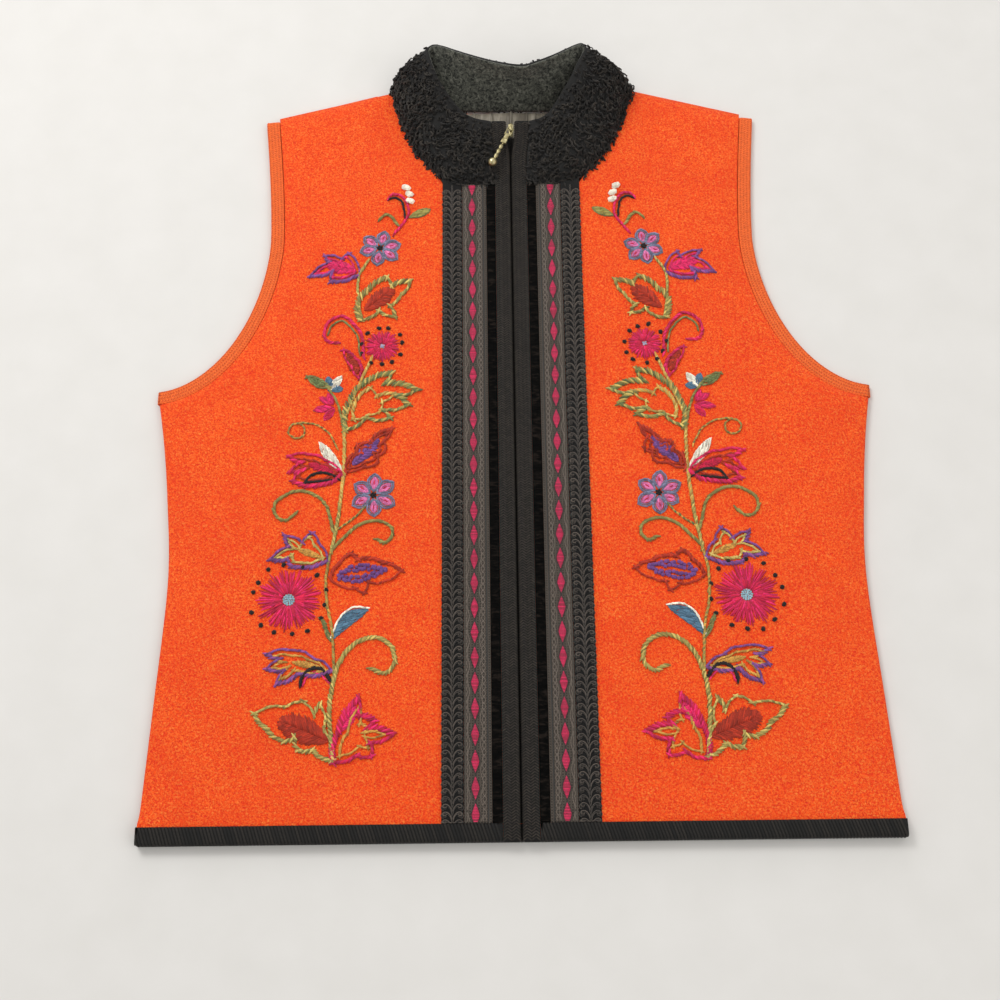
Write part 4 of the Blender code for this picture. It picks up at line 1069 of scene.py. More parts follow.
class VEST_OT_armhole_bands(bpy.types.Operator):
    """Sews a knitted band round each armhole, folded flat at the underarm and the shoulder"""

    bl_idname = "vest.armhole_bands"
    bl_label = "Armhole bands"

    def execute(self, context):
        base = tuple(context.scene.vest_cloth.knit_colour)
        finish = rib_material(
            # linear(224, 74, 26) is painted shade for the hollows between the knit's ribs
            "band_knit", base, linear(224, 74, 26),
            along=500.0, across=420.0, slant=0.6, depth=0.0009, roughness=0.95,
            constants={"Sheen Weight": 0.05, "Sheen Tint": (*linear(255, 170, 140), 1)},
        )
        for label, side in SIDES:
            rings, weave = band_rings(side)
            made = sweep_piece(f"knit_band_{label}", rings, True, finish, "band_knit", weave)
            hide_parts(f"armhole_band_{label}")
        return {"FINISHED"}


# Bindings and trims

# Columns of ribs on the zip's binding, from the centre line, and how far a rib climbs across its column
RIB_COLUMNS = ((0.7, 3.5), (3.5, 6.4), (6.4, 9.2), (9.2, 12.0))
RIB_RUN = 2.2

# How much wider the hem's ribs stand than the zip binding's
HEM_RIB_SPREAD = 1.15


def fold_section(width, under_width, edge, shrink):
    """Section of a braid folded over an edge: distance from the edge line, and height from its middle."""
    outside = FOLD_OUTSIDE - shrink
    inside = WOOL_BOUND / 2.0 + GAP
    turn = np.radians(np.arange(0, 181, 20))
    far = edge + shrink + FOLD_REACH
    outer_turn = [(far - FOLD_REACH * math.sin(a), outside * math.cos(a)) for a in turn]
    inner_turn = [(edge + FOLD_REACH - math.sin(a), -inside * math.cos(a)) for a in turn[::2]]
    section = [(width, outside - 0.2), (width - 0.4, outside)] + outer_turn
    section += [(under_width, -outside), (under_width, -inside)] + inner_turn + [(width, inside)]
    return np.array(section)


def centre_rows(step):
    """Heights of the stations along the centre front, from the hem to the top of the collar."""
    top = COLLAR_TOP_Y + 0.6
    return np.linspace(0.0, top, int(round(top / step)) + 1)


def slanted_ribs(heap, centre, run, side, low, high, lift, radius, rng):
    """One column of slanted yarns of a braid, between two distances from the centre line."""
    steps = np.linspace(0.0, 1.0, 4)
    across = low + (high - low) * steps
    along = centre[:, None] + run * (steps - 0.5)[None, :]
    height = crest(along) - WOOL_BOUND / 2.0 + lift + 0.2 * np.sin(math.pi * steps)
    paths = places(side * (across + notch(along)), along, height)
    widths = radius * np.array([0.7, 1.1, 1.1, 0.7])
    heap.tubes(paths, widths, sides=4, flat=0.9, tints=rng.uniform(0.3, 1.0, len(centre)))


class VEST_OT_zip_bindings(bpy.types.Operator):
    """Folds herringbone braid over both front edges, from the hem to the collar's top"""

    bl_idname = "vest.zip_bindings"
    bl_label = "Zip bindings"

    def execute(self, context):
        trim = context.scene.vest_trim
        base = tuple(trim.braid_colour)
        under = rib_material(
            # linear(6, 5, 4) is painted shade for the hollows between the braid's ribs
            "braid_ground", scaled(base, 0.16), linear(6, 5, 4),
            along=620.0, across=300.0, slant=1.0, depth=0.0004, roughness=0.9,
        )
        yarn = thread_material("braid_yarn", scaled(base, 0.4), scaled(base, 3.9), roughness=0.85)
        rng = np.random.default_rng(SEED)
        pitch = trim.rib_pitch / MM
        for label, side in SIDES:
            section = fold_section(BINDING_OUTER - 0.05, BINDING_OUTER - 1.0, BINDING_INNER + 0.1, 0.35)
            rows = centre_rows(5.0)
            along = rows[:, None]
            middle = crest(along) - WOOL_BOUND / 2.0
            rings = places(side * (section[:, 0] + notch(along)), along, middle + section[:, 1])
            weave = places(along, section[:, 0], 0.0)
            made = sweep_piece(f"binding_fold_{label}", rings, False, under, "dark_braid", weave)
            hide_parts(f"zip_binding_{label}")
            heap = Heap()
            for number, (low, high) in enumerate(RIB_COLUMNS):
                run = RIB_RUN if number % 2 == 0 else -RIB_RUN
                centre = np.arange(1.6, COLLAR_TOP_Y - 1.0, pitch) + rng.uniform(-0.12, 0.12)
                slanted_ribs(heap, centre, run, side, low, high, FOLD_OUTSIDE - 0.38, pitch * 0.26, rng)
            heap.piece(f"binding_ribs_{label}", yarn, "dark_braid", made)
        return {"FINISHED"}


class VEST_OT_hem_bindings(bpy.types.Operator):
    """Folds the same braid over the hem edges of the fronts and the back, its ribs painted darker as shade"""

    bl_idname = "vest.hem_bindings"
    bl_label = "Hem bindings"

    def execute(self, context):
        trim = context.scene.vest_trim
        base = tuple(trim.braid_colour)
        under = bpy.data.materials[LOOK + "braid_ground"]
        # The hem's ribs are the zip binding's braid painted darker: painted shade on the hem
        yarn = thread_material("shaded_hem_yarn", scaled(base, 0.08), scaled(base, 1.5), roughness=0.85)
        rng = np.random.default_rng(SEED + 1)
        pitch = trim.rib_pitch / MM * HEM_RIB_SPREAD
        corner = SIDE[0][1]
        lines = []
        for label, side in SIDES:
            from_zip = side * (BINDING_OUTER + 0.05)
            lines.append((f"front_{label}", from_zip, side * corner, CREST - WOOL_BOUND / 2.0))
        lines.append(("back", -corner, corner, FOLD_OUTSIDE))
        for label, start, end, middle in lines:
            low, high = min(start, end), max(start, end)
            section = fold_section(HEM_WIDTH + 0.18, HEM_WIDTH - 0.6, 0.1, 0.35)
            spread = np.linspace(low, high, int((high - low) / 6.0))[:, None]
            rings = places(spread, section[:, 0], middle + section[:, 1])
            weave = places(spread, section[:, 0], 0.0)
            made = sweep_piece(f"hem_fold_{label}", rings, False, under, "dark_braid", weave)
            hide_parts(f"hem_binding_{label}")
            centre = np.arange(low + 1.4, high - 0.6, pitch)
            reach = FOLD_OUTSIDE - 0.5
            turn = np.radians(np.arange(0, 181, 22.5))
            path_y = np.concatenate([[HEM_WIDTH - 0.05, 8.6, 5.4], 2.9 - 2.35 * np.sin(turn), [6.0, 9.0]])
            path_z = np.concatenate([[reach] * 3, reach * np.cos(turn), [-reach, -reach]])
            fall = np.concatenate([[0.0], np.cumsum(np.hypot(np.diff(path_y), np.diff(path_z)))])
            slant = np.clip(centre[:, None] + 0.34 * (fall - fall[5]), low + 0.7, high - 0.7)
            paths = places(slant, path_y, middle + path_z)
            ups = places(0.0, np.gradient(path_z), -np.gradient(path_y))
            tints = rng.uniform(0.0, 1.0, len(centre))
            heap = Heap()
            heap.tubes(paths, pitch * 0.42, sides=4, flat=0.85, ups=ups, tints=tints)
            heap.piece(f"hem_ribs_{label}", yarn, "dark_braid", made)
        return {"FINISHED"}


def strip_rings(side, edges, low_y, high_y, step, profile):
    """Rings of a flat trim on the wool, their weave, and the count of points on the face. The profile gives
    heights across the width."""
    rows = np.linspace(low_y, high_y, int((high_y - low_y) / step) + 1)
    inner, outer = edges
    share = np.array([part for part, _ in profile])
    height = np.array([lift for _, lift in profile])
    across = inner + (outer - inner) * np.concatenate([share, share[::-1]])
    lift = np.concatenate([height, np.zeros(len(share))])
    along = rows[:, None]
    rings = places(side * across, along, crest(along) + GAP + lift)
    return rings, places(along, across, 0.0), len(share)


class VEST_OT_velvet_ribbons(bpy.types.Operator):
    """Lays a narrow crushed velvet ribbon beside each zip binding"""

    bl_idname = "vest.velvet_ribbons"
    bl_label = "Velvet ribbons"

    def execute(self, context):
        # The velvet's pale grains are painted highlights standing in for the sheen of its crushed nap
        finish = nap_material(
            "black_velvet", linear(6, 5, 4), linear(1, 1, 1), linear(34, 28, 24),
            grain=260.0, mottle=110.0, depth=0.0022, roughness=0.75,
            constants={"Sheen Weight": 0.0, "Specular IOR Level": 0.06}, stretch=(0.4, 1.6, 1.0),
        )
        profile = [(0.0, 0.35), (0.03, 0.75), (0.12, 1.0), (0.3, 1.25), (0.5, 1.3), (0.7, 1.25), (0.88, 1.0)]
        profile += [(0.97, 0.75), (1.0, 0.35)]
        for label, side in SIDES:
            rings, weave, top = strip_rings(side, VELVET, TRIM_LOW_Y, TRIM_HIGH_Y, 1.9, profile)
            rough = ripple(side, rings[:, :top, 0] * 2.0, rings[:, :top, 1], 9.0)
            rings[:, 1 : top - 1, 2] += 0.16 * rough[:, 1:-1]
            made = sweep_piece(f"velvet_{label}", rings, False, finish, "black_velvet", weave)
            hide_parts(f"velvet_ribbon_{label}")
        return {"FINISHED"}


class VEST_OT_woven_ribbons(bpy.types.Operator):
    """Lays a ribbed ribbon with a row of woven diamonds on each front"""

    bl_idname = "vest.woven_ribbons"
    bl_label = "Woven ribbons"

    def execute(self, context):
        trim = context.scene.vest_trim
        base = tuple(trim.ribbon_colour)
        ground = rib_material(
            # linear(38, 35, 29) is painted shade for the hollows between the ribbon's ribs
            "taupe_ribbon", base, linear(38, 35, 29),
            along=560.0, across=520.0, slant=0.0, depth=0.0009, roughness=0.85,
        )
        thread = thread_material(
            "ribbon_thread", base, base, roughness=0.5, constants={"Sheen Weight": 0.2}, dyed=True
        )
        rng = np.random.default_rng(SEED + 2)
        profile = [(0.0, 0.5), (0.02, 0.9), (0.05, 1.0), (0.09, 0.82), (0.13, 0.95), (0.3, 0.95), (0.5, 0.95)]
        profile += [(0.7, 0.95), (0.87, 0.95), (0.91, 0.82), (0.95, 1.0), (0.98, 0.9), (1.0, 0.5)]
        pitch = trim.diamond_pitch / MM
        diamond = tuple(trim.diamond_colour)
        # Waved threads: distance from the centre line, swing, waves to a diamond, and phase
        waves = [(WOVEN[0] + 5.0, 1.2, 2.0, 0.0), (WOVEN[0] + 5.0, 1.2, 2.0, math.pi)]
        waves += [(DIAMOND_X - 4.3, 0.8, 1.0, 1.9), (DIAMOND_X + 4.3, 0.8, 1.0, 5.0)]
        waves.append((WOVEN[1] - 2.2, 0.3, 4.0, 0.0))
        for label, side in SIDES:
            rings, weave, top = strip_rings(side, WOVEN, TRIM_LOW_Y, TRIM_HIGH_Y, 2.4, profile)
            face = rings[:, 2 : top - 2]
            face[..., 2] += 0.07 * ripple(side, face[..., 0], face[..., 1], 17.0)
            made = sweep_piece(f"ribbon_{label}", rings, False, ground, "taupe_ribbon", weave)
            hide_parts(f"woven_ribbon_{label}")
            heap = Heap()
            share = np.linspace(-1.0, 1.0, 4)
            for centre in np.arange(TRIM_LOW_Y + 5.0, TRIM_HIGH_Y - 2.0, pitch):
                rows = centre + np.arange(-DIAMOND_HALF_LENGTH, DIAMOND_HALF_LENGTH + 0.1, 0.98)
                rows = rows[(rows > TRIM_LOW_Y + 0.8) & (rows < TRIM_HIGH_Y - 0.8)][:, None]
                taper = (np.abs(rows - centre) / (DIAMOND_HALF_LENGTH + 0.5)) ** 1.3
                reach = DIAMOND_HALF_WIDTH * (1.0 - taper)
                for wider, sunk, colour in ((0.7, -0.02, linear(30, 26, 24)), (0.0, 0.16, diamond)):
                    height = crest(rows) + (GAP + RIBBON + sunk) + 0.12 * (1.0 - share**2)
                    paths = places(side * (DIAMOND_X + (reach + wider) * share), rows, height)
                    tints = rng.uniform(0.0, 1.0, len(rows))
                    heap.tubes(paths, DIAMOND_THREAD, sides=4, flat=0.7, tints=tints, dye=colour)
            rows = np.arange(TRIM_LOW_Y + 1.0, TRIM_HIGH_Y - 1.0, 1.1)
            turn = (rows - TRIM_LOW_Y) / pitch * math.tau
            for across, swing, times, phase in waves:
                swung = side * (across + swing * np.sin(times * turn + phase))
                path = places(swung, rows, crest(rows) + GAP + RIBBON + 0.05)
                heap.tubes(path[None], WAVED_THREAD, sides=4, flat=0.7, tints=0.7, dye=scaled(base, 1.5))
            rows = np.arange(TRIM_LOW_Y + 1.0, TRIM_HIGH_Y - 1.0, 3.0)
            for across, colour in ((DIAMOND_X, linear(22, 10, 12)), (WOVEN[0] + 2.6, linear(24, 22, 19))):
                path = places(side * across, rows, crest(rows) + GAP + RIBBON + 0.1)
                heap.tubes(path[None], LINE_THREAD, sides=4, flat=0.6, tints=0.8, dye=colour)
            heap.piece(f"ribbon_diamonds_{label}", thread, "taupe_ribbon", made)
        return {"FINISHED"}


class VEST_OT_gimp_braids(bpy.types.Operator):
    """Lays looped black cord braid on the outer side of each ribbon"""

    bl_idname = "vest.gimp_braids"
    bl_label = "Gimp braids"

    def execute(self, context):
        pitch = context.scene.vest_trim.gimp_pitch / MM
        cord = thread_material(
            # The pale colour of the black cord is painted highlight
            "black_gimp", linear(17, 14, 12), linear(128, 114, 102),
            roughness=0.6, constants={"Sheen Weight": 0.1}, twist=2200.0,
        )
        net = rib_material(
            # linear(4, 4, 4) is painted shade for the hollows between the net's ribs
            "gimp_net", linear(14, 12, 11), linear(4, 4, 4),
            along=900.0, across=700.0, slant=0.0, depth=0.0006, roughness=0.9,
        )
        rng = np.random.default_rng(SEED + 3)
        inner, outer = GIMP_EDGES
        stem = (inner + outer) / 2.0
        half = (outer - inner) / 2.0 - 0.35
        profile = [(0.0, 0.1), (0.03, 0.4), (0.5, 0.5), (0.95, 0.4), (0.98, 0.1)]
        for label, side in SIDES:
            rings, weave, _ = strip_rings(side, GIMP_EDGES, TRIM_LOW_Y, TRIM_HIGH_Y + 4.2, 6.0, profile)
            ground = sweep_piece(f"gimp_ground_{label}", rings, False, net, "black_gimp", weave)
            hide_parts(f"gimp_braid_{label}")
            starts = np.arange(TRIM_LOW_Y + 0.4, TRIM_HIGH_Y - 6.4, pitch)
            heap = Heap()
            for hand in (-1.0, 1.0):
                for points, count, drop, radius, dark, pale in GIMP_STRANDS:
                    curl = through(np.array(points) * [half / GIMP_DRAWN[0], pitch / GIMP_DRAWN[1]], count)
                    along = starts[:, None] + curl[:, 1] - drop
                    along = np.clip(along, TRIM_LOW_Y + 0.4, TRIM_HIGH_Y - 0.5)
                    across = stem + hand * curl[:, 0] + rng.uniform(-0.12, 0.12, (len(starts), 1))
                    arch = 0.5 * np.sin(np.linspace(0.3, math.pi, count))
                    height = crest(along) + GAP + 0.74 + arch - 0.2 * drop
                    # Tints: painted highlight towards the pale end, and painted shade on the strand that
                    # hangs back
                    tints = rng.uniform(dark, pale, len(starts))
                    heap.tubes(places(side * across, along, height), radius, sides=4, tints=tints)
            rows = np.arange(TRIM_LOW_Y + 0.6, TRIM_HIGH_Y - 0.6, 0.75)
            for strand in (0.0, math.pi):
                turn = rows / pitch * math.tau + strand
                height = crest(rows) + GAP + 1.15 + 0.3 * np.cos(turn)
                path = places(side * (stem + 0.6 * np.sin(turn)), rows, height)
                heap.tubes(path[None], GIMP_CORD, sides=4, tints=0.3)
            heap.piece(f"gimp_loops_{label}", cord, "black_gimp", ground)
        return {"FINISHED"}


# Collar


def surface_normals(skin):
    """Outward unit normals of a grid of points."""
    normals = np.cross(np.gradient(skin, axis=0), np.gradient(skin, axis=1))
    return normals / (np.linalg.norm(normals, axis=2)[:, :, None] + 1e-12)


def collar_skin():
    """Stations, and the grid of the collar's middle surface from one front edge round to the other."""
    stations = [(1, row) for row in COLLAR] + [(-1, row) for row in reversed(COLLAR[:-1])]
    skin = np.zeros((len(stations), COLLAR_ROWS, 3))
    part = np.linspace(0.0, 1.0, COLLAR_ROWS)
    for number, (side, row) in enumerate(stations):
        base = np.array([side * row[0] + NECK_LEAN * row[8], row[1], row[2]])
        rim = np.array([side * row[3] + row[9], row[4], row[5]])
        skin[number] = base + (rim - base) * part[:, None]
    normals = surface_normals(skin)
    for number, (side, row) in enumerate(stations):
        skin[number] += row[6] * np.sin(math.pi * part)[:, None] * normals[number, COLLAR_ROWS // 2]
        if row[3] < 13.0 and row[1] < COLLAR_SEAM_Y + 5.0:
            along = COLLAR[0][1] + (COLLAR_TOP_Y - COLLAR[0][1]) * part
            skin[number, :, 0] = side * (row[0] + notch(along))
            skin[number, :, 1] = along
            skin[number, :, 2] = crest(along) - WOOL_BOUND / 2.0
    return stations, skin


def finer(skin):
    """A grid of the collar with more points along it and up it."""
    return refine(refine(skin, COLLAR_STEPS, 0), COLLAR_STEPS, 1)


def pile_skins():
    """Inner and outer grids of the pile, refined along and up the collar."""
    stations, skin = collar_skin()
    normals = surface_normals(skin)
    near = FLEECE / 2.0 + GAP
    inner = skin + normals * near
    outer = np.zeros_like(skin)
    last = len(stations) - 2
    round_way = np.gradient(skin[:, 0, :], axis=0)
    for number, (_, row) in enumerate(stations):
        depth = np.full(COLLAR_ROWS, PILE)
        depth[-1] = PILE_EDGE
        if number in (1, last):
            depth[:] = PILE_EDGE
        outer[number] = skin[number] + normals[number] * (near + depth)[:, None]
        outwards = unit(-aside_of(round_way[number]))
        foot = skin[number, 0, :2] + outwards * PILE_FOOT
        outer[number, 0] = (foot[0], foot[1], row[7])
    inner, outer = finer(inner[1:-1]), finer(outer[1:-1])
    outer[..., 2] = np.maximum(outer[..., 2], 0.0)
    return inner, outer


class VEST_OT_collar_facing(bpy.types.Operator):
    """Makes the brushed fleece facing inside the stand collar"""

    bl_idname = "vest.collar_facing"
    bl_label = "Collar facing"

    def execute(self, context):
        base = tuple(context.scene.vest_collar.fleece_colour)
        finish = nap_material(
            "charcoal_fleece", base, linear(34, 35, 32), linear(112, 112, 102),
            grain=420.0, mottle=90.0, depth=0.0012, roughness=1.0,
            constants={"Sheen Weight": 0.15, "Sheen Roughness": 0.5, "Specular IOR Level": 0.2},
        )
        _, skin = collar_skin()
        fine = finer(skin)
        normals = surface_normals(fine)
        rough = ripple(1, fine[..., 0] * 3.0 + fine[..., 2] * 2.0, fine[..., 1] * 3.0, 26.0)[..., None]
        outer = fine + normals * FLEECE / 2.0
        inner = fine - normals * (FLEECE / 2.0 + 0.18 * rough)
        made = slab_piece("fleece_facing", outer, inner, finish, "charcoal_fleece", mirrored=True)
        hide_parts("collar_facing")
        return {"FINISHED"}


class VEST_OT_collar_pile(bpy.types.Operator):
    """Covers the outside of the collar with short curled locks"""

    bl_idname = "vest.collar_pile"
    bl_label = "Collar pile"

    def execute(self, context):
        collar = context.scene.vest_collar
        base = tuple(collar.pile_colour)
        finish = thread_material(
            "curly_pile", scaled(base, 0.09), scaled(base, 2.6),
            roughness=0.85, constants={"Sheen Weight": 0.03},
        )
        inner, outer = pile_skins()
        depth = (outer - inner) * PILE_GROUND
        made = slab_piece("pile_ground", inner + depth, inner, finish, "curly_pile", mirrored=True)
        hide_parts("collar_pile")
        rng = np.random.default_rng(SEED + 4)
        normals = surface_normals(outer)
        count = collar.locks
        area = np.linalg.norm(np.cross(np.gradient(outer, axis=0), np.gradient(outer, axis=1)), axis=2)
        area[:, -1] = 0.0
        area = area.ravel()
        chosen = rng.choice(len(area), count, p=area / area.sum())
        row, column = np.divmod(chosen, outer.shape[1])
        root = (inner + depth)[row, column] + rng.uniform(-1.3, 1.3, (count, 3))
        normal = normals[row, column]
        turn = 1.1 * np.sin(root[:, 0] * 0.11 + 0.8 * np.sin(root[:, 1] * 0.1))
        turn += 0.9 * np.sin(root[:, 1] * 0.14 - root[:, 0] * 0.06) + rng.normal(0.0, 0.6, count)
        drift = np.stack([np.sin(turn), -np.cos(turn), np.full(count, -0.3)], axis=1)
        drift -= normal * np.sum(drift * normal, axis=1)[:, None]
        drift = unit(drift)
        aside = np.cross(normal, drift)
        trimmed = 1.0 - 0.6 * np.clip((column / (outer.shape[1] - 1) - 0.8) / 0.15, 0.0, 1.0)
        length = collar.lock_length / MM * rng.uniform(0.6, 1.25, count) * trimmed
        steps = np.linspace(0.0, 1.0, 7)
        turns = rng.uniform(0.8, 1.5, (count, 1))
        curl = turns * math.tau * steps + rng.uniform(0, 6.28, (count, 1))
        reach = rng.uniform(0.8, 1.5, count) * trimmed
        sway = reach[:, None] * np.sin(math.pi * (0.12 + 0.88 * steps))
        lifted = rng.uniform(0.6, 1.5, count) * trimmed
        rise = lifted[:, None] * np.sin(math.pi * np.minimum(steps * 1.08, 1.0))
        paths = (
            root[:, None]
            + drift[:, None] * (length[:, None] * steps + sway * np.cos(curl))[..., None]
            + aside[:, None] * (sway * np.sin(curl))[..., None]
            + normal[:, None] * (rise + 0.25 * sway * np.cos(curl))[..., None]
        )
        paths[..., 2] = np.maximum(paths[..., 2], LOWEST_LOCK)
        paths[..., 1] = np.minimum(paths[..., 1], FARTHEST_LOCK)
        widths = rng.uniform(0.5, 0.9, count)[:, None] * np.array([0.7, 1.0, 1.0, 1.0, 0.95, 0.8, 0.45])
        heap = Heap()
        heap.tubes(paths, widths, sides=3, ups=normal[:, None, :], tints=rng.uniform(0.0, 1.0, count) ** 1.4)
        heap.piece("pile_locks", finish, "curly_pile", made)
        return {"FINISHED"}


class VEST_OT_back_lining(bpy.types.Operator):
    """Gathers the satin lining that shows inside the neck"""

    bl_idname = "vest.back_lining"
    bl_label = "Back lining"

    def execute(self, context):
        # The satin's dark and pale streaks along the pleats are painted shade and painted sheen
        finish = nap_material(
            "taupe_satin", linear(125, 118, 105), linear(92, 85, 74), linear(160, 152, 137),
            grain=60.0, mottle=40.0, depth=0.0003, roughness=0.36,
            constants={"Sheen Weight": 0.05, "Anisotropic": 0.4}, stretch=(2.5, 0.4, 1.0),
        )
        neck = through([(0.0, BACK_NECK_Y), (34.0, 558.4), (LINING_HALF + 2.0, 564.6)], 60)
        across = np.linspace(-LINING_HALF, LINING_HALF, 190)
        part = np.linspace(0.0, 1.0, 18)
        top = np.interp(np.abs(across), neck[:, 0], neck[:, 1]) - 0.8
        lift = np.zeros((len(part), len(across)))
        for number, centre in enumerate(PLEATS):
            bend = centre + 2.2 * math.sin(number * 1.7) * (1.0 - part)
            width = 0.75 + 0.5 * (1.0 - part) + 0.2 * math.sin(number * 2.3)
            ridge = np.exp(-(((across[None, :] - bend[:, None]) / width[:, None]) ** 2))
            lift = np.maximum(lift, ridge * (1.9 + 0.5 * math.sin(number * 1.3)))
        along = LINING_LOW_Y + (top[None, :] - LINING_LOW_Y) * part[:, None]
        spread = across[None, :] * (1.0 + 0.02 * part[:, None])
        base = WOOL + GAP + lift
        lower, upper = places(spread, along, base), places(spread, along, base + SATIN)
        made = slab_piece("satin_lining", upper, lower, finish, "taupe_satin")
        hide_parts("back_lining")
        return {"FINISHED"}


# Zip


class VEST_OT_zip_chain(bpy.types.Operator):
    """Lays the zip's tapes and closed teeth between the front edges"""

    bl_idname = "vest.zip_chain"
    bl_label = "Zip chain"

    def execute(self, context):
        tape = rib_material(
            # linear(14, 13, 12) is painted shade for the hollows between the tape's ribs
            "zip_tape", linear(34, 32, 30), linear(14, 13, 12),
            along=900.0, across=900.0, slant=0.0, depth=0.0002, roughness=0.8,
        )
        tooth = thread_material(
            "zip_teeth", linear(24, 23, 22), linear(60, 56, 50), roughness=0.4, constants={"Metallic": 0.8}
        )
        rows = np.linspace(11.9, SLIDER_LOW_Y - 0.4, 110)[:, None]
        base = crest(rows) - WOOL_BOUND / 2.0 - CHAIN_DROP - GAP - TAPE
        half = BINDING_OUTER - 2.0
        section = [(-half, 0.0), (half, 0.0), (half, TAPE), (1.4, TAPE), (0.0, TAPE + 0.1), (-1.4, TAPE)]
        section = np.array(section + [(-half, TAPE)])
        rings = places(section[:, 0], rows, base + section[:, 1])
        weave = places(rows, section[:, 0], 0.0)
        made = sweep_piece("zip_tapes", rings, False, tape, "zip_tape", weave)
        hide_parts("zip_chain")
        heap = Heap()
        for offset, side in ((0.0, 1), (0.6, -1)):
            along = np.arange(13.4 + offset, SLIDER_LOW_Y - 1.4, 1.2)[:, None]
            height = crest(along) - WOOL_BOUND / 2.0 - CHAIN_DROP - GAP + 0.2
            paths = places(side * np.array([1.5, 0.6, -0.35]), along, height)
            heap.tubes(paths, TOOTH_RADIUS, sides=3, tints=0.5)
        heap.piece("zip_teeth", tooth, "zip_tape", made)
        return {"FINISHED"}


def brass_material():
    """Pale brass, rubbed darker and duller in places."""
    found = bpy.data.materials.get(LOOK + "pale_brass")
    if found:
        return found
    made, tree, shader = finish_material("pale_brass", 0.3, {"Metallic": 1.0})
    worn = object_noise(tree, 450.0, 4.0, 0.7)
    tone = mixed(tree, ranged(tree, worn, 0.35, 0.7), linear(204, 194, 150), linear(128, 116, 80))
    tree.links.new(tone, shader.inputs["Base Color"])
    rough = node(tree, "MapRange", {"To Min": 0.22, "To Max": 0.5})
    tree.links.new(worn, rough.inputs["Value"])
    tree.links.new(rough.outputs["Result"], shader.inputs["Roughness"])
    bump(tree, shader, worn, WEAR_DEPTH)
    return made


def charm_matrix():
    """Places the charm's own axes, with x away from the pin, y to its side and z up, in millimetres."""
    yaw = math.radians(CHARM_YAW_DEG)
    tilt = math.radians(CHARM_TILT_DEG)
    out = Vector((-math.sin(yaw) * math.cos(tilt), -math.cos(yaw) * math.cos(tilt), math.sin(tilt)))
    aside = Vector((math.cos(yaw), -math.sin(yaw), 0.0))
    up = Vector((math.sin(yaw) * math.sin(tilt), math.cos(yaw) * math.sin(tilt), math.cos(tilt)))
    turned = Matrix((out, aside, up)).transposed().to_4x4()
    return Matrix.Translation((SLIDER_X, PIN_Y, PIN_Z)) @ turned


def hard_part(parts, name, place, body):
    """Joins primitives that were shaped in millimetres into one piece, in place in the frame."""
    deselect()
    for part in parts:
        part.select_set(True)
    bpy.context.view_layer.objects.active = parts[0]
    bpy.ops.object.transform_apply(location=True, rotation=True, scale=True)
    bpy.ops.object.join()
    made = bpy.context.view_layer.objects.active
    made.name = name
    made.data.name = name
    shift = Matrix.Translation((0.0, HEM_AT, 0.0))
    made.data.transform(shift @ Matrix.Scale(MM, 4) @ place)
    deselect()
    made.select_set(True)
    bpy.ops.object.mode_set(mode="EDIT")
    bpy.ops.mesh.select_all(action="SELECT")
    bpy.ops.mesh.normals_make_consistent(inside=False)
    bpy.ops.object.mode_set(mode="OBJECT")
    bpy.ops.object.shade_smooth_by_angle(angle=math.radians(38.0))
    made.data.materials.clear()
    made.data.materials.append(brass_material())
    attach(made, body)
    return made


def rounded_block(centre, size, edge, taper=1.0):
    """A bevelled block, narrowed to taper at its end of low y."""
    deselect()
    bpy.ops.mesh.primitive_cube_add(size=1.0, location=centre)
    made = bpy.context.object
    made.scale = size
    bpy.ops.object.transform_apply(location=False, rotation=False, scale=True)
    for vertex in made.data.vertices:
        if vertex.co.y < 0.0:
            vertex.co.x *= taper
    bevel = made.modifiers.new("edge", "BEVEL")
    bevel.width = edge
    bevel.segments = 3
    bpy.ops.object.modifier_apply(modifier="edge")
    return made


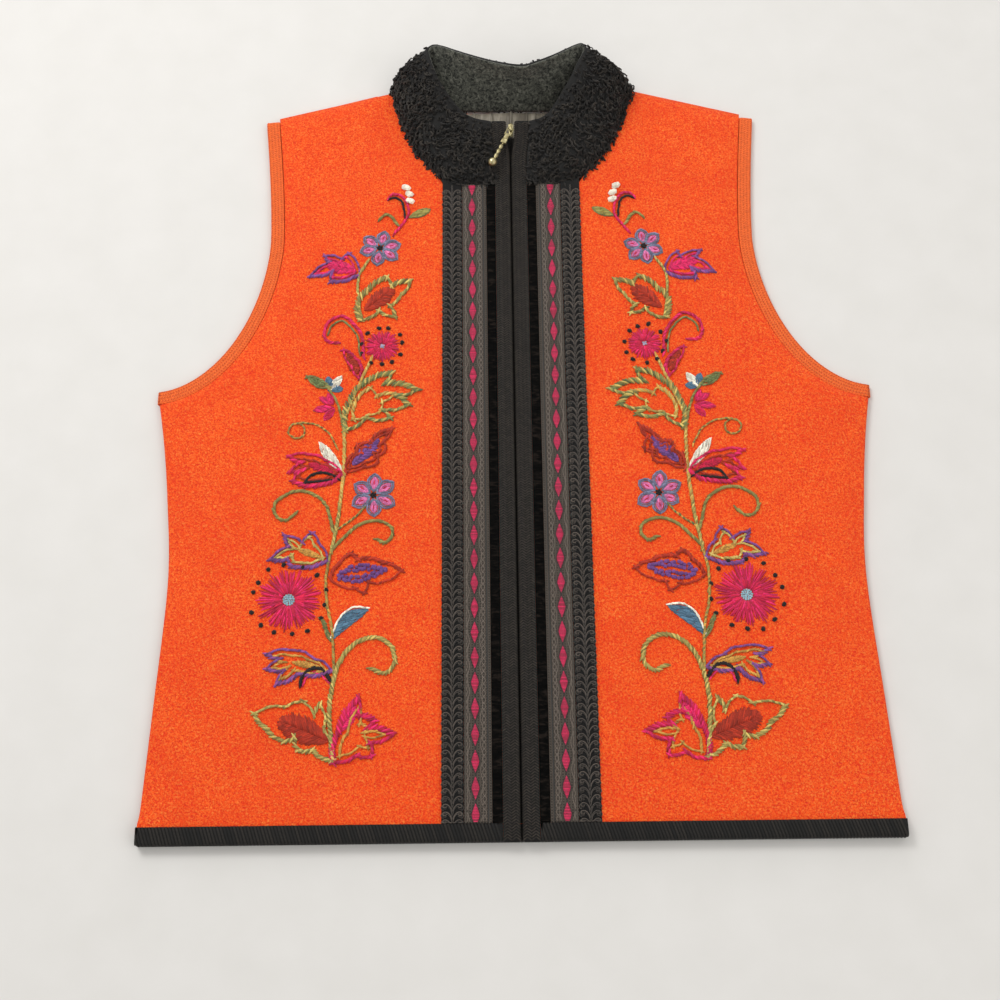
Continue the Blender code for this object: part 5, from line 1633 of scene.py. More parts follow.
class VEST_OT_zip_slider(bpy.types.Operator):
    """Shapes the slider with its bridge"""

    bl_idname = "vest.zip_slider"
    bl_label = "Zip slider"

    def execute(self, context):
        middle = SLIDER_LOW_Y + SLIDER_LENGTH / 2.0
        wall = 1.1
        parts = []
        for height in (SLIDER_TOP_Z - wall / 2.0, SLIDER_BASE_Z + wall / 2.0):
            size = (2.0 * SLIDER_HALF, SLIDER_LENGTH, wall)
            parts.append(rounded_block((SLIDER_X, middle, height), size, 0.4, 0.72))
        core = (SLIDER_X, SLIDER_LOW_Y + 6.6, (SLIDER_TOP_Z + SLIDER_BASE_Z) / 2.0)
        parts.append(rounded_block(core, (1.3, 3.2, SLIDER_TOP_Z - SLIDER_BASE_Z - 1.0), 0.3, 0.5))
        for side in (-1, 1):
            rail = (SLIDER_X + side * (SLIDER_HALF - 0.35), middle + 1.6, SLIDER_TOP_Z - 1.3)
            parts.append(rounded_block(rail, (0.6, 5.4, 1.4), 0.22))
        slant = BRIDGE_HALF * math.tan(math.radians(CHARM_YAW_DEG))
        front = PIN_Y - PIN_RADIUS - PIN_PLAY - slant
        back = SLIDER_LOW_Y + SLIDER_LENGTH - 1.2
        top = PIN_Z + PIN_RADIUS + PIN_PLAY
        line = [(front - 0.45, SLIDER_TOP_Z - 0.6), (front - 0.45, top - 0.2), (front + 0.1, top + 0.35)]
        line += [(back - 0.2, top + 0.35), (back + 0.45, top - 0.2), (back + 0.45, SLIDER_TOP_Z - 0.6)]
        deselect()
        bpy.ops.mesh.primitive_plane_add(size=1.0, location=(0.0, 0.0, 0.0))
        bridge = bpy.context.object
        work = bmesh.new()
        rings = []
        for along, height in through(line, 15):
            ring = [(SLIDER_X + x, along, height) for x in (-BRIDGE_HALF, BRIDGE_HALF)]
            rings.append([work.verts.new(point) for point in ring])
        for first, second in zip(rings, rings[1:]):
            work.faces.new((first[0], first[1], second[1], second[0]))
        work.to_mesh(bridge.data)
        work.free()
        wall_step = bridge.modifiers.new("wall", "SOLIDIFY")
        wall_step.thickness = 0.8
        wall_step.offset = 0.0
        edge = bridge.modifiers.new("edge", "BEVEL")
        edge.width = 0.2
        edge.segments = 2
        bpy.ops.object.modifier_apply(modifier="wall")
        bpy.ops.object.modifier_apply(modifier="edge")
        parts.append(bridge)
        made = hard_part(parts, "slider_body", Matrix.Identity(4), "vest")
        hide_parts("zip_slider")
        return {"FINISHED"}


class VEST_OT_zip_pull(bpy.types.Operator):
    """Shapes the charm on the slider: a loop, a block in two parts, three beads and a ball"""

    bl_idname = "vest.zip_pull"
    bl_label = "Zip pull"

    def execute(self, context):
        parts = []
        deselect()
        bpy.ops.mesh.primitive_cylinder_add(
            vertices=20, radius=PIN_RADIUS * 0.96, depth=2.0 * LOOP_HALF - 0.6,
            rotation=(math.pi / 2.0, 0.0, 0.0),
        )
        parts.append(bpy.context.object)
        for side in (-1, 1):
            arm = ((LOOP_NEAR + 0.4) / 2.0, side * (LOOP_HALF + LOOP_INNER) / 2.0, 0.0)
            parts.append(rounded_block(arm, (LOOP_NEAR + 1.3, LOOP_HALF - LOOP_INNER, 1.1), 0.2))
        bar = ((LOOP_NEAR + LOOP_FAR) / 2.0, 0.0, 0.0)
        parts.append(rounded_block(bar, (LOOP_FAR - LOOP_NEAR, 2.0 * LOOP_HALF, 1.25), 0.25))
        near = LOOP_FAR - 0.3
        middle = (near + BLOCK_END) / 2.0
        for low, high, breadth in ((near, middle - 0.2, 3.7), (middle + 0.2, BLOCK_END, 4.5)):
            parts.append(rounded_block(((low + high) / 2.0, 0.0, 0.0), (high - low, breadth, 2.1), 0.5))
        parts.append(rounded_block((middle, 0.0, 0.0), (1.2, 2.2, 1.3), 0.2))
        profile = [(BLOCK_END - 0.5, 0.0), (BLOCK_END - 0.4, BEAD_STEM), (BEAD_START - 0.1, BEAD_STEM)]
        reach = BEAD_LENGTH / 2.0 - 0.05
        for bead in range(BEAD_COUNT):
            middle = BEAD_START + (bead + 0.5) * BEAD_LENGTH
            for angle in np.radians(np.arange(150, 20, -20)):
                radius = BEAD_NECK + (BEAD_RADIUS - BEAD_NECK) * math.sin(angle)
                profile.append((middle + reach * math.cos(angle), radius))
        profile.append((BALL_AT - BALL_RADIUS + 0.1, 0.8))
        for angle in np.radians(np.arange(162, 0, -12)):
            profile.append((BALL_AT + BALL_RADIUS * math.cos(angle), BALL_RADIUS * math.sin(angle)))
        profile.append((BALL_AT + BALL_RADIUS, 0.0))
        deselect()
        bpy.ops.mesh.primitive_plane_add(size=1.0, location=(0.0, 0.0, 0.0))
        beads = bpy.context.object
        work = bmesh.new()
        line = [work.verts.new((distance, radius, 0.0)) for distance, radius in profile]
        for first, second in zip(line, line[1:]):
            work.edges.new((first, second))
        bmesh.ops.spin(
            work, geom=work.verts[:] + work.edges[:], cent=(0, 0, 0), axis=(1, 0, 0),
            angle=math.tau, steps=32, use_duplicate=False, use_merge=True,
        )
        bmesh.ops.remove_doubles(work, verts=work.verts, dist=0.001)
        work.to_mesh(beads.data)
        work.free()
        parts.append(beads)
        made = hard_part(parts, "pull_charm", charm_matrix(), "pull")
        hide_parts("zip_pull")
        return {"FINISHED"}


# Crewel work

YARNS = {
    "olive": linear(142, 134, 74),
    "moss": linear(160, 150, 78),
    "straw": linear(216, 190, 104),
    "ochre": linear(214, 158, 70),
    "green": linear(118, 130, 78),
    "magenta": linear(236, 36, 106),
    "crimson": linear(214, 24, 70),
    "rust": linear(186, 50, 20),
    "purple": linear(122, 76, 146),
    "violet": linear(150, 78, 144),
    "slate": linear(126, 130, 158),
    "orchid": linear(232, 122, 178),
    "blue": linear(88, 126, 152),
    "ice": linear(158, 194, 206),
    "lavender": linear(184, 180, 206),
    "cream": linear(252, 246, 226),
    "black": linear(26, 20, 18),
}
YARN_WIDTH = 1.45

# Spacing of stem stitches, length of edge stitches and the longest satin stitch
STEM_STEP = 1.7
EDGE_STITCH = 4.6
LONGEST_SATIN = 6.5

# Width of a stitch's ends, and share of the satin stitches that are worked
STITCH_END = 0.55
SATIN_SHARE = 1.0

# Stems and curls of one front, on the side of plus x: width, yarns, and the points that each runs through
STEMS = [
    (2.6, ("straw", "moss"), [(107, 425), (114, 411), (113, 388), (111, 378)]),
    (2.8, ("ochre", "straw"), [(103, 345), (111, 326), (121, 300)]),
    (2.2, ("olive", "moss"), [(134, 322), (127, 310), (122, 291)]),
    (3.3, ("straw", "ochre"), [(122, 302), (121, 262), (123, 232)]),
    (3.3, ("moss", "straw"), [(123, 234), (124, 222), (128, 198)]),
    (2.6, ("moss", "ochre"), [(128, 199), (131, 180), (130, 160), (126, 142), (124, 118), (124, 112)]),
    (4.2, ("moss", "straw"), [(123, 53), (126, 89), (121, 117), (110, 132), (96, 136), (86, 130),
                              (83, 120)]),
    (4.0, ("straw", "moss"), [(83, 121), (85.5, 114.5), (91, 111.5), (99, 115)]),
    (1.6, ("ochre", "olive"), [(126, 275), (132, 286), (141, 293), (151, 295)]),
    (1.6, ("olive", "ochre"), [(151, 295), (159, 293), (161, 287), (156, 283), (150.5, 285),
                               (150, 291), (154, 294.5)]),
    (3.0, ("olive", "moss"), [(127, 212), (133, 232), (144, 241), (156, 242), (167, 235), (169, 228)]),
    (2.8, ("moss", "olive"), [(169, 228), (166, 223), (160, 221), (153, 226)]),
    (3.0, ("moss", "olive"), [(127, 200), (111, 216), (98, 220), (88, 216), (86.5, 209), (91, 204),
                              (97, 206.5)]),
    (1.7, ("ochre", "green"), [(124, 214), (112, 223), (106, 230)]),
    (3.0, ("magenta", "crimson"), [(109, 346), (111, 364), (123, 378.5), (134, 375.5), (138, 366),
                                   (135, 359), (128, 357.5)]),
    (1.6, ("olive", "green"), [(112, 349), (114, 363), (124, 375), (132, 372), (135, 366)]),
    (2.4, ("magenta", "crimson"), [(93, 479), (90, 482), (84, 481.5), (79.5, 475.5), (77.5, 467),
                                   (79.5, 460), (88, 448.5)]),
    (2.0, ("black", "black"), [(91.5, 478.5), (87.5, 479.5), (83, 476), (81, 469.5), (80.5, 463)]),
    (2.8, ("olive", "moss"), [(85.5, 455.5), (90.5, 463), (95, 464.5), (99, 461.5)]),
]

# Leaves: outline, its width and yarns, yarn of the row within, and the filling's yarn, base, tip and
# half width
LEAVES = [
    (
        [(114, 413), (114.5, 422), (122.5, 431), (126, 427), (139, 430.5), (136, 425), (149.5, 413.5),
         (132, 417),
         (135, 408.5)],
        2.6, ("violet", "purple"), "magenta", ("magenta", (116, 417), (139, 423), 5.8),
    ),
    (
        [(112, 376), (113.5, 390), (107, 401), (93, 411), (90, 404.5), (76, 407), (83, 396),
         (91, 387), (87.5, 379),
         (98, 384), (106, 377)],
        4.4, ("straw", "moss", "olive"), None, ("rust", (109, 384), (86, 404), 7.0),
    ),
    (
        [(123.5, 351.5), (117.5, 347), (110, 337), (112.5, 329), (118, 339)],
        2.2, ("magenta", "crimson"), None, ("rust", (120.5, 349), (112.5, 332), 4.4),
    ),
    (
        [(149, 330.5), (142.5, 330), (134, 323), (142, 323.5)],
        1.8, ("olive", "green"), None, ("green", (148, 329.5), (136, 323.5), 3.0),
    ),
    (
        [(121, 289), (117, 313), (108, 326), (88, 333.5), (94, 325.5), (70, 318.5), (85, 316),
         (76, 307), (94, 304.5),
         (88.5, 298), (106, 299)],
        4.6, ("moss", "green", "straw"), None, None,
    ),
    (
        [(115, 297), (113, 311), (104, 320.5), (100, 314.5), (86, 316.5), (94, 309.5), (96, 303.5),
         (106, 300.5)],
        2.6, ("straw", "ochre"), None, None,
    ),
    (
        [(122, 255), (134, 266), (146, 271), (160, 269.5), (151, 264.5), (159, 257), (148, 259),
         (157, 249.5), (140, 247)],
        3.4, ("magenta", "crimson"), "rust", ("crimson", (125, 257), (148, 264), 4.2),
    ),
    (
        [(120, 257), (117, 267), (112, 269.5), (111, 277), (103, 278), (99, 284), (88, 289.5),
         (93, 280), (92, 272),
         (97.5, 269), (98.5, 262), (107, 261)],
        2.8, ("rust",), "rust", ("purple", (115, 262), (95, 284), 5.4),
    ),
    (
        [(130, 191), (137, 203), (142, 211.5), (149, 205), (161, 209), (158, 202), (170, 193),
         (157, 192), (154, 187)],
        2.8, ("violet", "purple"), "straw", ("ochre", (134, 193), (154, 201), 2.8),
    ),
    (
        [(128, 178), (121, 189), (114, 195.5), (110, 192), (104, 193), (92, 189.5), (80.5, 183.5),
         (92, 176.5),
         (102, 174.5), (104, 167.5), (111, 172), (120, 172)],
        2.6, ("rust",), None, None,
    ),
    (
        [(125, 113), (137, 122), (152, 127), (168, 125.5), (160, 121), (168, 115), (157, 114),
         (162.5, 104), (147, 111)],
        2.8, ("violet", "purple"), "ochre", ("ochre", (133, 116), (154, 120), 2.6),
    ),
    (
        [(123, 53), (129, 74), (131, 91), (137, 84), (144, 93), (154, 89), (175, 86), (167, 76), (155, 66),
         (148, 69), (146, 60), (136, 61)],
        3.2, ("straw", "moss"), None, ("rust", (126, 66), (163, 82), 9.6),
    ),
    (
        [(123, 52), (120, 74), (107, 94), (108, 83), (97, 80), (101, 74.5), (84, 69.5), (99, 64.5),
         (97.5, 55),
         (108, 57)],
        4.4, ("magenta", "crimson"), "ochre", ("magenta", (119, 72), (108.5, 91), 5.4),
    ),
    ([(133, 149), (131, 144), (127, 135), (130, 142)], 2.2, ("green", "olive"), None, None),
]

# Petals and slips: base, tip, half width, bend, and the yarns of the filling and of the outline
SLIPS = [
    ((77, 462), (61, 468.5), 3.0, 0.0, "moss", "green"),
    ((121.5, 257), (139, 280), 3.4, -0.8, "cream", "cream"),
    ((125.5, 135), (102, 156), 4.4, -4.0, "blue", "blue"),
    ((133.5, 320), (134.5, 330.5), 2.6, 0.8, "blue", "blue"),
    ((131, 319.5), (123.5, 321.5), 2.4, -0.6, "blue", "blue"),
    ((132.5, 320), (124.5, 331), 2.6, 0.0, "cream", "cream"),
    ((130, 309), (134, 317.5), 2.2, 0.0, "magenta", "crimson"),
    ((130, 309), (140, 314.5), 2.2, 0.0, "magenta", "crimson"),
    ((130, 307), (144, 304.5), 2.4, 0.0, "magenta", "crimson"),
    ((129, 306), (136, 297), 2.4, 0.0, "crimson", "magenta"),
]

# Arcs and rims over the leaves: width, yarns, and the points that each runs through
ARCS = [
    (2.4, ("black",), [(148, 249), (144, 254.5), (136, 256.5), (129, 254.5), (125, 251.5)]),
    (1.8, ("black",), [(148, 249), (137, 250), (126, 251.5)]),
    (3.4, ("black",), [(146, 104), (144, 110.5), (138, 115), (131, 113.5), (125.5, 106)]),
    (1.3, ("magenta",), [(144, 104), (142, 108.5), (137.5, 112), (132, 110), (127.5, 105.5)]),
    (1.6, ("cream",), [(126.5, 136), (121, 150), (112, 157.5), (102.5, 157)]),
]

# Six-petal flowers: centre, radius and turn in degrees
FLOWERS = [((98.5, 436.0), 15.5, 42.0), ((99.8, 239.0), 16.5, 28.0)]

# Daisies: centre, radius, radius of the eye, radius and count of the knots round it, yarns, yarn of the eye
DAISIES = [
    ((156.0, 163.2), 22.8, 4.5, 25.2, 14, ("magenta", "crimson"), "ice"),
    ((95.4, 354.8), 13.2, 2.2, 15.0, 11, ("magenta", "crimson"), "lavender"),
]

# Loose knots at the top of the vine
KNOTS = [(79.5, 488.2), (77.0, 482.2), (76.5, 476.2)]

# Leaf that is filled with knots: base, tip and half width
KNOTTED = ((123.0, 180.0), (90.0, 184.5), 5.6)


def petal_shape(base, tip, half, bend, count=9):
    """Outline of a petal from base to tip, widest past its middle and bent to one side."""
    base, tip = np.array(base, dtype=float), np.array(tip, dtype=float)
    share = np.linspace(0.0, 1.0, count)
    aside = aside_of(unit(tip - base))
    spine = base + (tip - base) * share[:, None] + aside * (bend * np.sin(math.pi * share))[:, None]
    wide = (half * np.sin(math.pi * share**1.15) ** 0.8)[:, None] * aside
    return np.concatenate([spine + wide, (spine - wide)[-2:0:-1]])


class Needle:
    """Works stitches on one front. Places are given on the side of plus x, and turned for the other."""

    def __init__(self, side, number):
        self.side = side
        self.rng = np.random.default_rng(SEED + 10 * number + side)
        wool = bpy.data.objects["wool_front_" + ("left" if side > 0 else "right")]
        self.ground = BVHTree.FromObject(wool, bpy.context.evaluated_depsgraph_get())
        self.heap = Heap()

    def height(self, spots):
        """Heights of the wool's face at places given as across and along."""
        found = []
        for across, along in spots.reshape(-1, 2):
            start = Vector((self.side * across * MM, along * MM + HEM_AT, 0.1))
            hit = self.ground.ray_cast(start, Vector((0.0, 0.0, -1.0)))[0]
            found.append(FRONT_LIFT if hit is None else hit.z / MM)
        return np.array(found).reshape(spots.shape[:-1])

    def stitch(self, starts, ends, yarn, width=YARN_WIDTH, lift=0.42, steps=4):
        """Straight stitches, each from a start to an end, a little proud of the wool."""
        starts, ends = np.atleast_2d(starts), np.atleast_2d(ends)
        if len(starts) == 0:
            return
        share = np.linspace(0.0, 1.0, steps)
        spots = starts[:, None] + (ends - starts)[:, None] * share[None, :, None]
        spots = spots + self.rng.normal(0.0, 0.1, spots.shape)
        height = self.height(spots) + lift * np.sin(math.pi * (0.06 + 0.88 * share)) ** 0.6
        height += self.rng.uniform(-0.08, 0.12, (len(starts), 1))
        paths = np.concatenate([spots, height[..., None]], axis=-1)
        paths[..., 0] *= self.side
        radii = width / 2.0 * np.concatenate([[STITCH_END], np.ones(steps - 2), [STITCH_END]])
        dye = np.array(YARNS[yarn]) * self.rng.uniform(0.66, 1.18, (len(starts), 1))
        tints = self.rng.uniform(0.2, 1.0, len(starts))
        self.heap.tubes(paths, radii, sides=4, flat=0.8, tints=tints, dye=dye)

    def rope(self, points, width, yarns, ragged=0.0):
        """Stem stitch along a curve, each stitch laid across the end of the one before. Ragged adds slant."""
        length = np.sum(np.linalg.norm(np.diff(np.array(points, dtype=float), axis=0), axis=1))
        line = through(points, max(4, int(length / STEM_STEP)))
        line += self.rng.normal(0.0, 0.12, line.shape)
        ahead = unit(np.gradient(line, axis=0))
        aside = aside_of(ahead)
        reach = min(2.6, 1.2 + 0.5 * width)
        offset = max(0.0, width - YARN_WIDTH) / 2.0 + 0.12
        thick = min(width, 1.5 + 0.25 * width, YARN_WIDTH * 1.25)
        for number, yarn in enumerate(yarns):
            chosen = np.arange(number, len(line), len(yarns))
            slant = aside[chosen] * (offset + ragged * self.rng.uniform(0.3, 1.0, (len(chosen), 1)))
            half = ahead[chosen] * reach * self.rng.uniform(0.8, 1.15, (len(chosen), 1))
            starts = line[chosen] - half + slant
            ends = line[chosen] + half - slant
            self.stitch(starts, ends, yarn, width=thick, lift=0.5 + 0.1 * width)

    def feathered(self, outline, width, yarns, inset=0.0):
        """Stem stitch round an outline with sharp corners, whose sides bow outwards between them."""
        corners = np.array(outline, dtype=float)
        middle = corners.mean(axis=0)
        reach = np.linalg.norm(corners - middle, axis=1)[:, None]
        corners = middle + (corners - middle) * (1.0 - np.minimum(inset / reach * 1.4, 0.7))
        following = np.roll(corners, -1, axis=0)
        turning = np.sum(corners[:, 0] * following[:, 1] - corners[:, 1] * following[:, 0])
        for start, end in zip(corners, following):
            outwards = -aside_of(end - start) * math.copysign(1.0, turning)
            rising = math.copysign(1.0, turning * np.dot(end - start, middle - corners[0]))
            self.rope([start, (start + end) / 2.0 + outwards * 0.1, end], width, yarns, 0.9 * rising)

    def edge(self, outline, yarn, width=YARN_WIDTH):
        """Straight stitches round an outline with sharp corners."""
        corners = np.array(outline, dtype=float)
        starts, stops = [], []
        for start, end in zip(corners, np.roll(corners, -1, axis=0)):
            length = np.linalg.norm(end - start)
            parts = max(1, int(round(length / EDGE_STITCH)))
            along = (end - start) / max(length, 0.1)
            aside = aside_of(along) * 0.22
            for part in range(parts):
                starts.append(start + (end - start) * part / parts - along * 0.4 + aside)
                stops.append(start + (end - start) * (part + 1) / parts + along * 0.4 - aside)
        self.stitch(np.array(starts), np.array(stops), yarn, width=width)

    def barbed(self, yarn, base, tip, half):
        """Fills a petal with slanted stitches from its midrib out towards the tip, on both sides."""
        base, tip = np.array(base, dtype=float), np.array(tip, dtype=float)
        length = np.linalg.norm(tip - base)
        ahead = (tip - base) / length
        aside = aside_of(ahead)
        for spacing, shorter, lift in ((0.95, 1.0, 0.4), (1.7, 0.55, 0.62)):
            share = np.arange(0.0, 0.86, spacing / length)[:, None]
            for hand in (-1.0, 1.0):
                start = base + ahead * length * share - hand * 0.3 * aside
                wide = half * np.sin(math.pi * np.clip(share + 0.1, 0.0, 1.0) ** 0.9) ** 0.8 * shorter
                wide = wide * self.rng.uniform(0.8, 1.1, wide.shape)
                self.stitch(start, start + hand * wide * aside + (0.7 * wide + 1.0) * ahead, yarn, lift=lift)

    def fill(self, outline, yarn, turn_deg, spacing):
        """Slanted satin stitches inside an outline."""
        corners = np.array(outline, dtype=float)
        middle = corners.mean(axis=0)
        turn = math.radians(turn_deg)
        axes = np.array([[math.cos(turn), math.sin(turn)], [-math.sin(turn), math.cos(turn)]])
        turned = (corners - middle) @ axes.T
        starts, stops = [], []
        for level in np.arange(turned[:, 1].min() + 0.5, turned[:, 1].max() - 0.2, spacing):
            crossings = []
            for first, second in zip(turned, np.roll(turned, -1, axis=0)):
                if (first[1] <= level) != (second[1] <= level):
                    part = (level - first[1]) / (second[1] - first[1])
                    crossings.append(first[0] + part * (second[0] - first[0]))
            crossings.sort()
            for low, high in zip(crossings[::2], crossings[1::2]):
                if high - low < 1.0:
                    continue
                pieces = max(1, int(math.ceil((high - low) / LONGEST_SATIN)))
                cuts = np.linspace(low, high, pieces + 1)
                cuts[1:-1] += self.rng.uniform(-1.2, 1.2, pieces - 1)
                for left, right in zip(cuts, cuts[1:]):
                    if self.rng.random() > SATIN_SHARE:
                        continue
                    slip = self.rng.uniform(-0.5, 0.5)
                    starts.append((left - 0.3 + slip, level - 0.35))
                    stops.append((right + 0.3 + slip, level + 0.35))
        if starts:
            self.stitch(np.array(starts) @ axes + middle, np.array(stops) @ axes + middle, yarn, lift=0.36)

    def knot(self, places, size, yarn):
        """French knots: a small coil of yarn at each place."""
        places = np.atleast_2d(np.array(places, dtype=float))
        share = np.linspace(0.0, 1.0, 9)
        turn = math.tau * 1.6 * share[None, :] + self.rng.uniform(0.0, math.tau, (len(places), 1))
        reach = size * (0.34 - 0.2 * share)[None, :]
        spots = places[:, None] + np.stack([reach * np.cos(turn), reach * np.sin(turn)], axis=-1)
        height = self.height(places)[:, None] + 0.25 + 0.28 * size * share[None, :]
        paths = np.concatenate([spots, height[..., None]], axis=-1)
        paths[..., 0] *= self.side
        dye = np.array(YARNS[yarn]) * self.rng.uniform(0.85, 1.1, (len(places), 1))
        self.heap.tubes(paths, size * 0.2, sides=5, tints=self.rng.uniform(0.4, 1.0, len(places)), dye=dye)

    def flower(self, centre, radius, turn_deg):
        """Six petals with two rows of outline, a pink filling with a dark dash, and a knotted centre."""
        centre = np.array(centre, dtype=float)
        for number in range(6):
            angle = math.radians(turn_deg + 60.0 * number + self.rng.uniform(-6.0, 6.0))
            out = np.array([math.cos(angle), math.sin(angle)])
            tip = centre + out * radius * self.rng.uniform(0.94, 1.05)
            base = centre + out * radius * 0.16
            half = radius * 0.3
            self.edge(petal_shape(base, tip, half, 0.0, 7), "slate")
            self.edge(petal_shape(base + out, tip - out * 1.3, half * 0.72, 0.0, 7), "slate", width=1.0)
            inner = petal_shape(base + out * 1.5, tip - out * 2.8, half * 0.42, 0.0, 6)
            self.edge(inner, "orchid", width=1.15)
            self.fill(inner, "orchid", math.degrees(angle), spacing=0.9)
            middle = (base + tip) / 2.0
            self.stitch(middle - out * 2.2, middle + out * 2.2, "crimson", lift=0.95, width=0.9)
        ring = [centre + 1.5 * np.array([math.cos(a), math.sin(a)]) for a in np.arange(5) * math.tau / 5]
        self.knot(ring + [centre], 2.3, "black")

    def daisy(self, centre, radius, eye, dots_at, dots, yarns, eye_yarn):
        """Long stitches out from an eye in uneven petals, with a ring of knots round them."""
        centre = np.array(centre, dtype=float)
        around = math.tau * radius * 0.62
        for layer, yarn in enumerate(yarns * 2):
            count = int(around / 1.9)
            angle = math.tau * (np.arange(count) + 0.5 * layer) / count + self.rng.normal(0.0, 0.03, count)
            wave = 0.5 + 0.5 * np.cos(angle * 13.0 + 0.7)
            outer = radius * (0.84 + 0.14 * wave) * self.rng.uniform(0.93, 1.05, count)
            inner = np.where(np.arange(count) % 2 == 0, eye + 0.2, radius * 0.45)
            inner = inner * self.rng.uniform(0.9, 1.1, count)
            if layer > 1:
                inner, outer = np.full(count, eye + 0.1), radius * self.rng.uniform(0.5, 0.66, count)
            out = np.stack([np.cos(angle), np.sin(angle)], axis=1)
            starts, ends = centre + out * inner[:, None], centre + out * outer[:, None]
            self.stitch(starts, ends, yarn, lift=0.5 + 0.12 * layer)
        eye_at = []
        for ring in range(int(eye / 1.3) + 1):
            number = max(1, int(math.tau * ring * 1.2 / 1.7))
            for step in range(number):
                angle = math.tau * step / number + ring
                eye_at.append(centre + ring * 1.15 * np.array([math.cos(angle), math.sin(angle)]))
        self.knot(eye_at, 1.9, eye_yarn)
        angle = math.tau * (np.arange(dots) + 0.3) / dots + self.rng.normal(0.0, 0.05, dots)
        reach = dots_at * self.rng.uniform(0.96, 1.05, dots)
        spots = centre + np.stack([np.cos(angle), np.sin(angle)], axis=1) * reach[:, None]
        for shift in (0.0, 0.75):
            self.knot(spots + shift * self.rng.uniform(-0.8, 0.8, spots.shape), 3.6, "black")

    def piece(self, name):
        """Makes what has been worked one piece of yarn on its front."""
        label = "left" if self.side > 0 else "right"
        white = (1, 1, 1)
        yarn = thread_material(
            "crewel_yarn", white, white, roughness=0.85, constants={"Sheen Weight": 0.06}, dyed=True
        )
        self.heap.piece(f"{name}_{label}", yarn, None, bpy.data.objects["wool_front_" + label])


class VEST_OT_crewel_stems(bpy.types.Operator):
    """Works the stems, curls and arcs of the flowering vine in stem stitch"""

    bl_idname = "vest.crewel_stems"
    bl_label = "Crewel stems"

    def execute(self, context):
        for _, side in SIDES:
            needle = Needle(side, 1)
            for width, yarns, points in STEMS + ARCS:
                needle.rope(points, width, yarns)
            needle.piece("crewel_stems")
        return {"FINISHED"}


class VEST_OT_crewel_leaves(bpy.types.Operator):
    """Works the serrated leaves and the slips over slanted filling, and a leaf filled with knots"""

    bl_idname = "vest.crewel_leaves"
    bl_label = "Crewel leaves"

    def execute(self, context):
        for _, side in SIDES:
            needle = Needle(side, 2)
            for outline, width, yarns, within, filling in LEAVES:
                swayed = np.array(outline, dtype=float)
                swayed[1:] += needle.rng.uniform(-0.9, 0.9, swayed[1:].shape)
                if filling:
                    needle.barbed(*filling)
                needle.feathered(swayed, width, yarns)
                if within:
                    needle.feathered(swayed, 1.6, (within,), inset=width)
            start, end, half = KNOTTED
            for share in np.linspace(0.04, 0.97, 15):
                spine = np.array(start) + (np.array(end) - np.array(start)) * share
                wide = half * math.sin(math.pi * share**0.8) ** 0.7
                places = spine + np.array([(0.0, wide * part) for part in (-0.95, -0.45, 0.45, 0.95)])
                needle.knot(places + needle.rng.uniform(-0.8, 0.8, places.shape), 3.4, "purple")
            for base, tip, half, bend, filling, rim in SLIPS:
                shape = petal_shape(base, tip, half, bend)
                turn_deg = math.degrees(math.atan2(tip[1] - base[1], tip[0] - base[0]))
                needle.fill(shape, filling, turn_deg + 12.0, spacing=0.85)
                needle.edge(shape, rim, width=1.0)
            needle.piece("crewel_leaves")
        return {"FINISHED"}


class VEST_OT_crewel_flowers(bpy.types.Operator):
    """Works the six-petal flowers, the daisies with their rings of knots, and the loose knots"""

    bl_idname = "vest.crewel_flowers"
    bl_label = "Crewel flowers"

    def execute(self, context):
        for _, side in SIDES:
            needle = Needle(side, 3)
            for flower in FLOWERS:
                needle.flower(*flower)
            for daisy in DAISIES:
                needle.daisy(*daisy)
            for shift in (-1.0, 0.0, 1.0):
                needle.knot([(x + 1.2 * shift, y + 0.5 * shift) for x, y in KNOTS], 5.4, "cream")
            needle.piece("crewel_flowers")
        return {"FINISHED"}


# Stage

FLOOR_GAP = 0.0004
SKY_COLOUR = (1.0, 0.985, 0.96, 1.0)
SKY_STRENGTH = 0.72

# Area lights: name, place in metres, width and power
LIGHTS = (
    ("key_light", (-0.9, 0.9, 1.5), 0.8, 18.0),
    ("fill_light", (1.2, -0.7, 1.4), 1.4, 6.6),
    ("low_light", (0.2, 1.6, 0.7), 0.9, 3.5),
)


def aimed(place, target):
    """Turn of a light or a camera that stands at a place and looks at a target."""
    return (Vector(target) - Vector(place)).to_track_quat("-Z", "Y").to_euler()


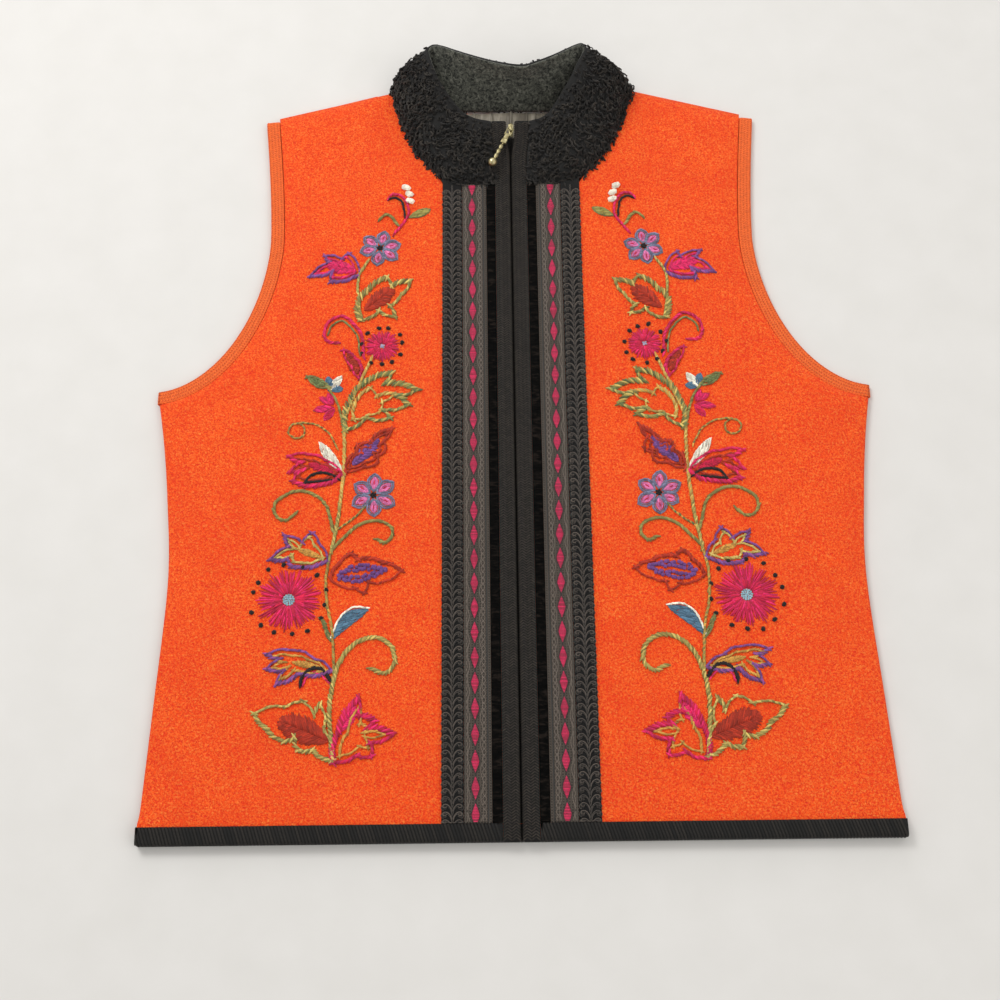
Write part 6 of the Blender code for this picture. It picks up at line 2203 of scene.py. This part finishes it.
class VEST_OT_stage(bpy.types.Operator):
    """Sets the floor, soft lights and camera"""

    bl_idname = "vest.stage"
    bl_label = "Floor, light and camera"

    def execute(self, context):
        stage = context.scene.vest_stage
        deselect()
        bpy.ops.mesh.primitive_plane_add(size=stage.floor_size, location=(0.0, 0.0, -FLOOR_GAP))
        floor = context.object
        floor.name = "floor"
        made, tree, shader = finish_material("pale_floor", 0.85)
        grain = object_noise(tree, 30.0, 3.0)
        tone = mixed(tree, grain, linear(210, 208, 204), linear(218, 216, 213))
        tree.links.new(tone, shader.inputs["Base Color"])
        floor.data.materials.append(made)
        sky = context.scene.world or bpy.data.worlds.new("studio")
        context.scene.world = sky
        context.scene.view_settings.view_transform = "Standard"
        sky.use_nodes = True
        background = sky.node_tree.nodes["Background"]
        background.inputs["Color"].default_value = SKY_COLOUR
        background.inputs["Strength"].default_value = SKY_STRENGTH
        for name, at, width, power in LIGHTS:
            lamp = bpy.data.lights.new(name, "AREA")
            lamp.size = width
            lamp.energy = power
            made = bpy.data.objects.new(name, lamp)
            made.location = at
            made.rotation_euler = aimed(at, (0.0, 0.0, 0.0))
            context.scene.collection.objects.link(made)
        lens = bpy.data.cameras.new("camera")
        lens.lens = stage.lens
        camera = bpy.data.objects.new("camera", lens)
        camera.location = stage.camera_at
        camera.rotation_euler = aimed(stage.camera_at, stage.camera_aim)
        context.scene.collection.objects.link(camera)
        context.scene.camera = camera
        return {"FINISHED"}


class VEST_PT_panel(bpy.types.Panel):
    bl_idname = "VEST_PT_panel"
    bl_label = "Embroidered vest"
    bl_space_type = "VIEW_3D"
    bl_region_type = "UI"
    bl_category = "Vest"

    def draw(self, context):
        for group in GROUPS:
            box = self.layout.box()
            for field in PROPERTIES[group].__annotations__:
                box.prop(getattr(context.scene, group), field)
        for made in PIECES:
            self.layout.operator(made.bl_idname)


PROPERTIES = {
    "vest_cloth": VestCloth,
    "vest_trim": VestTrim,
    "vest_collar": VestCollar,
    "vest_stage": VestStage,
}
GROUPS = tuple(PROPERTIES)
PIECES = (
    VEST_OT_wool_back,
    VEST_OT_wool_fronts,
    VEST_OT_armhole_bands,
    VEST_OT_zip_bindings,
    VEST_OT_hem_bindings,
    VEST_OT_velvet_ribbons,
    VEST_OT_woven_ribbons,
    VEST_OT_gimp_braids,
    VEST_OT_collar_facing,
    VEST_OT_collar_pile,
    VEST_OT_back_lining,
    VEST_OT_zip_chain,
    VEST_OT_zip_slider,
    VEST_OT_zip_pull,
    VEST_OT_crewel_stems,
    VEST_OT_crewel_leaves,
    VEST_OT_crewel_flowers,
    VEST_OT_stage,
)
CLASSES = (*PROPERTIES.values(), *PIECES, VEST_PT_panel)


def register():
    for kind in CLASSES:
        bpy.utils.register_class(kind)
    for name, kind in PROPERTIES.items():
        setattr(bpy.types.Scene, name, bpy.props.PointerProperty(type=kind))


def unregister():
    for name in PROPERTIES:
        delattr(bpy.types.Scene, name)
    for kind in reversed(CLASSES):
        bpy.utils.unregister_class(kind)


def main():
    register()
    for made in PIECES:
        group, action = made.bl_idname.split(".")
        getattr(getattr(bpy.ops, group), action)()


if __name__ == "__main__":
    main()
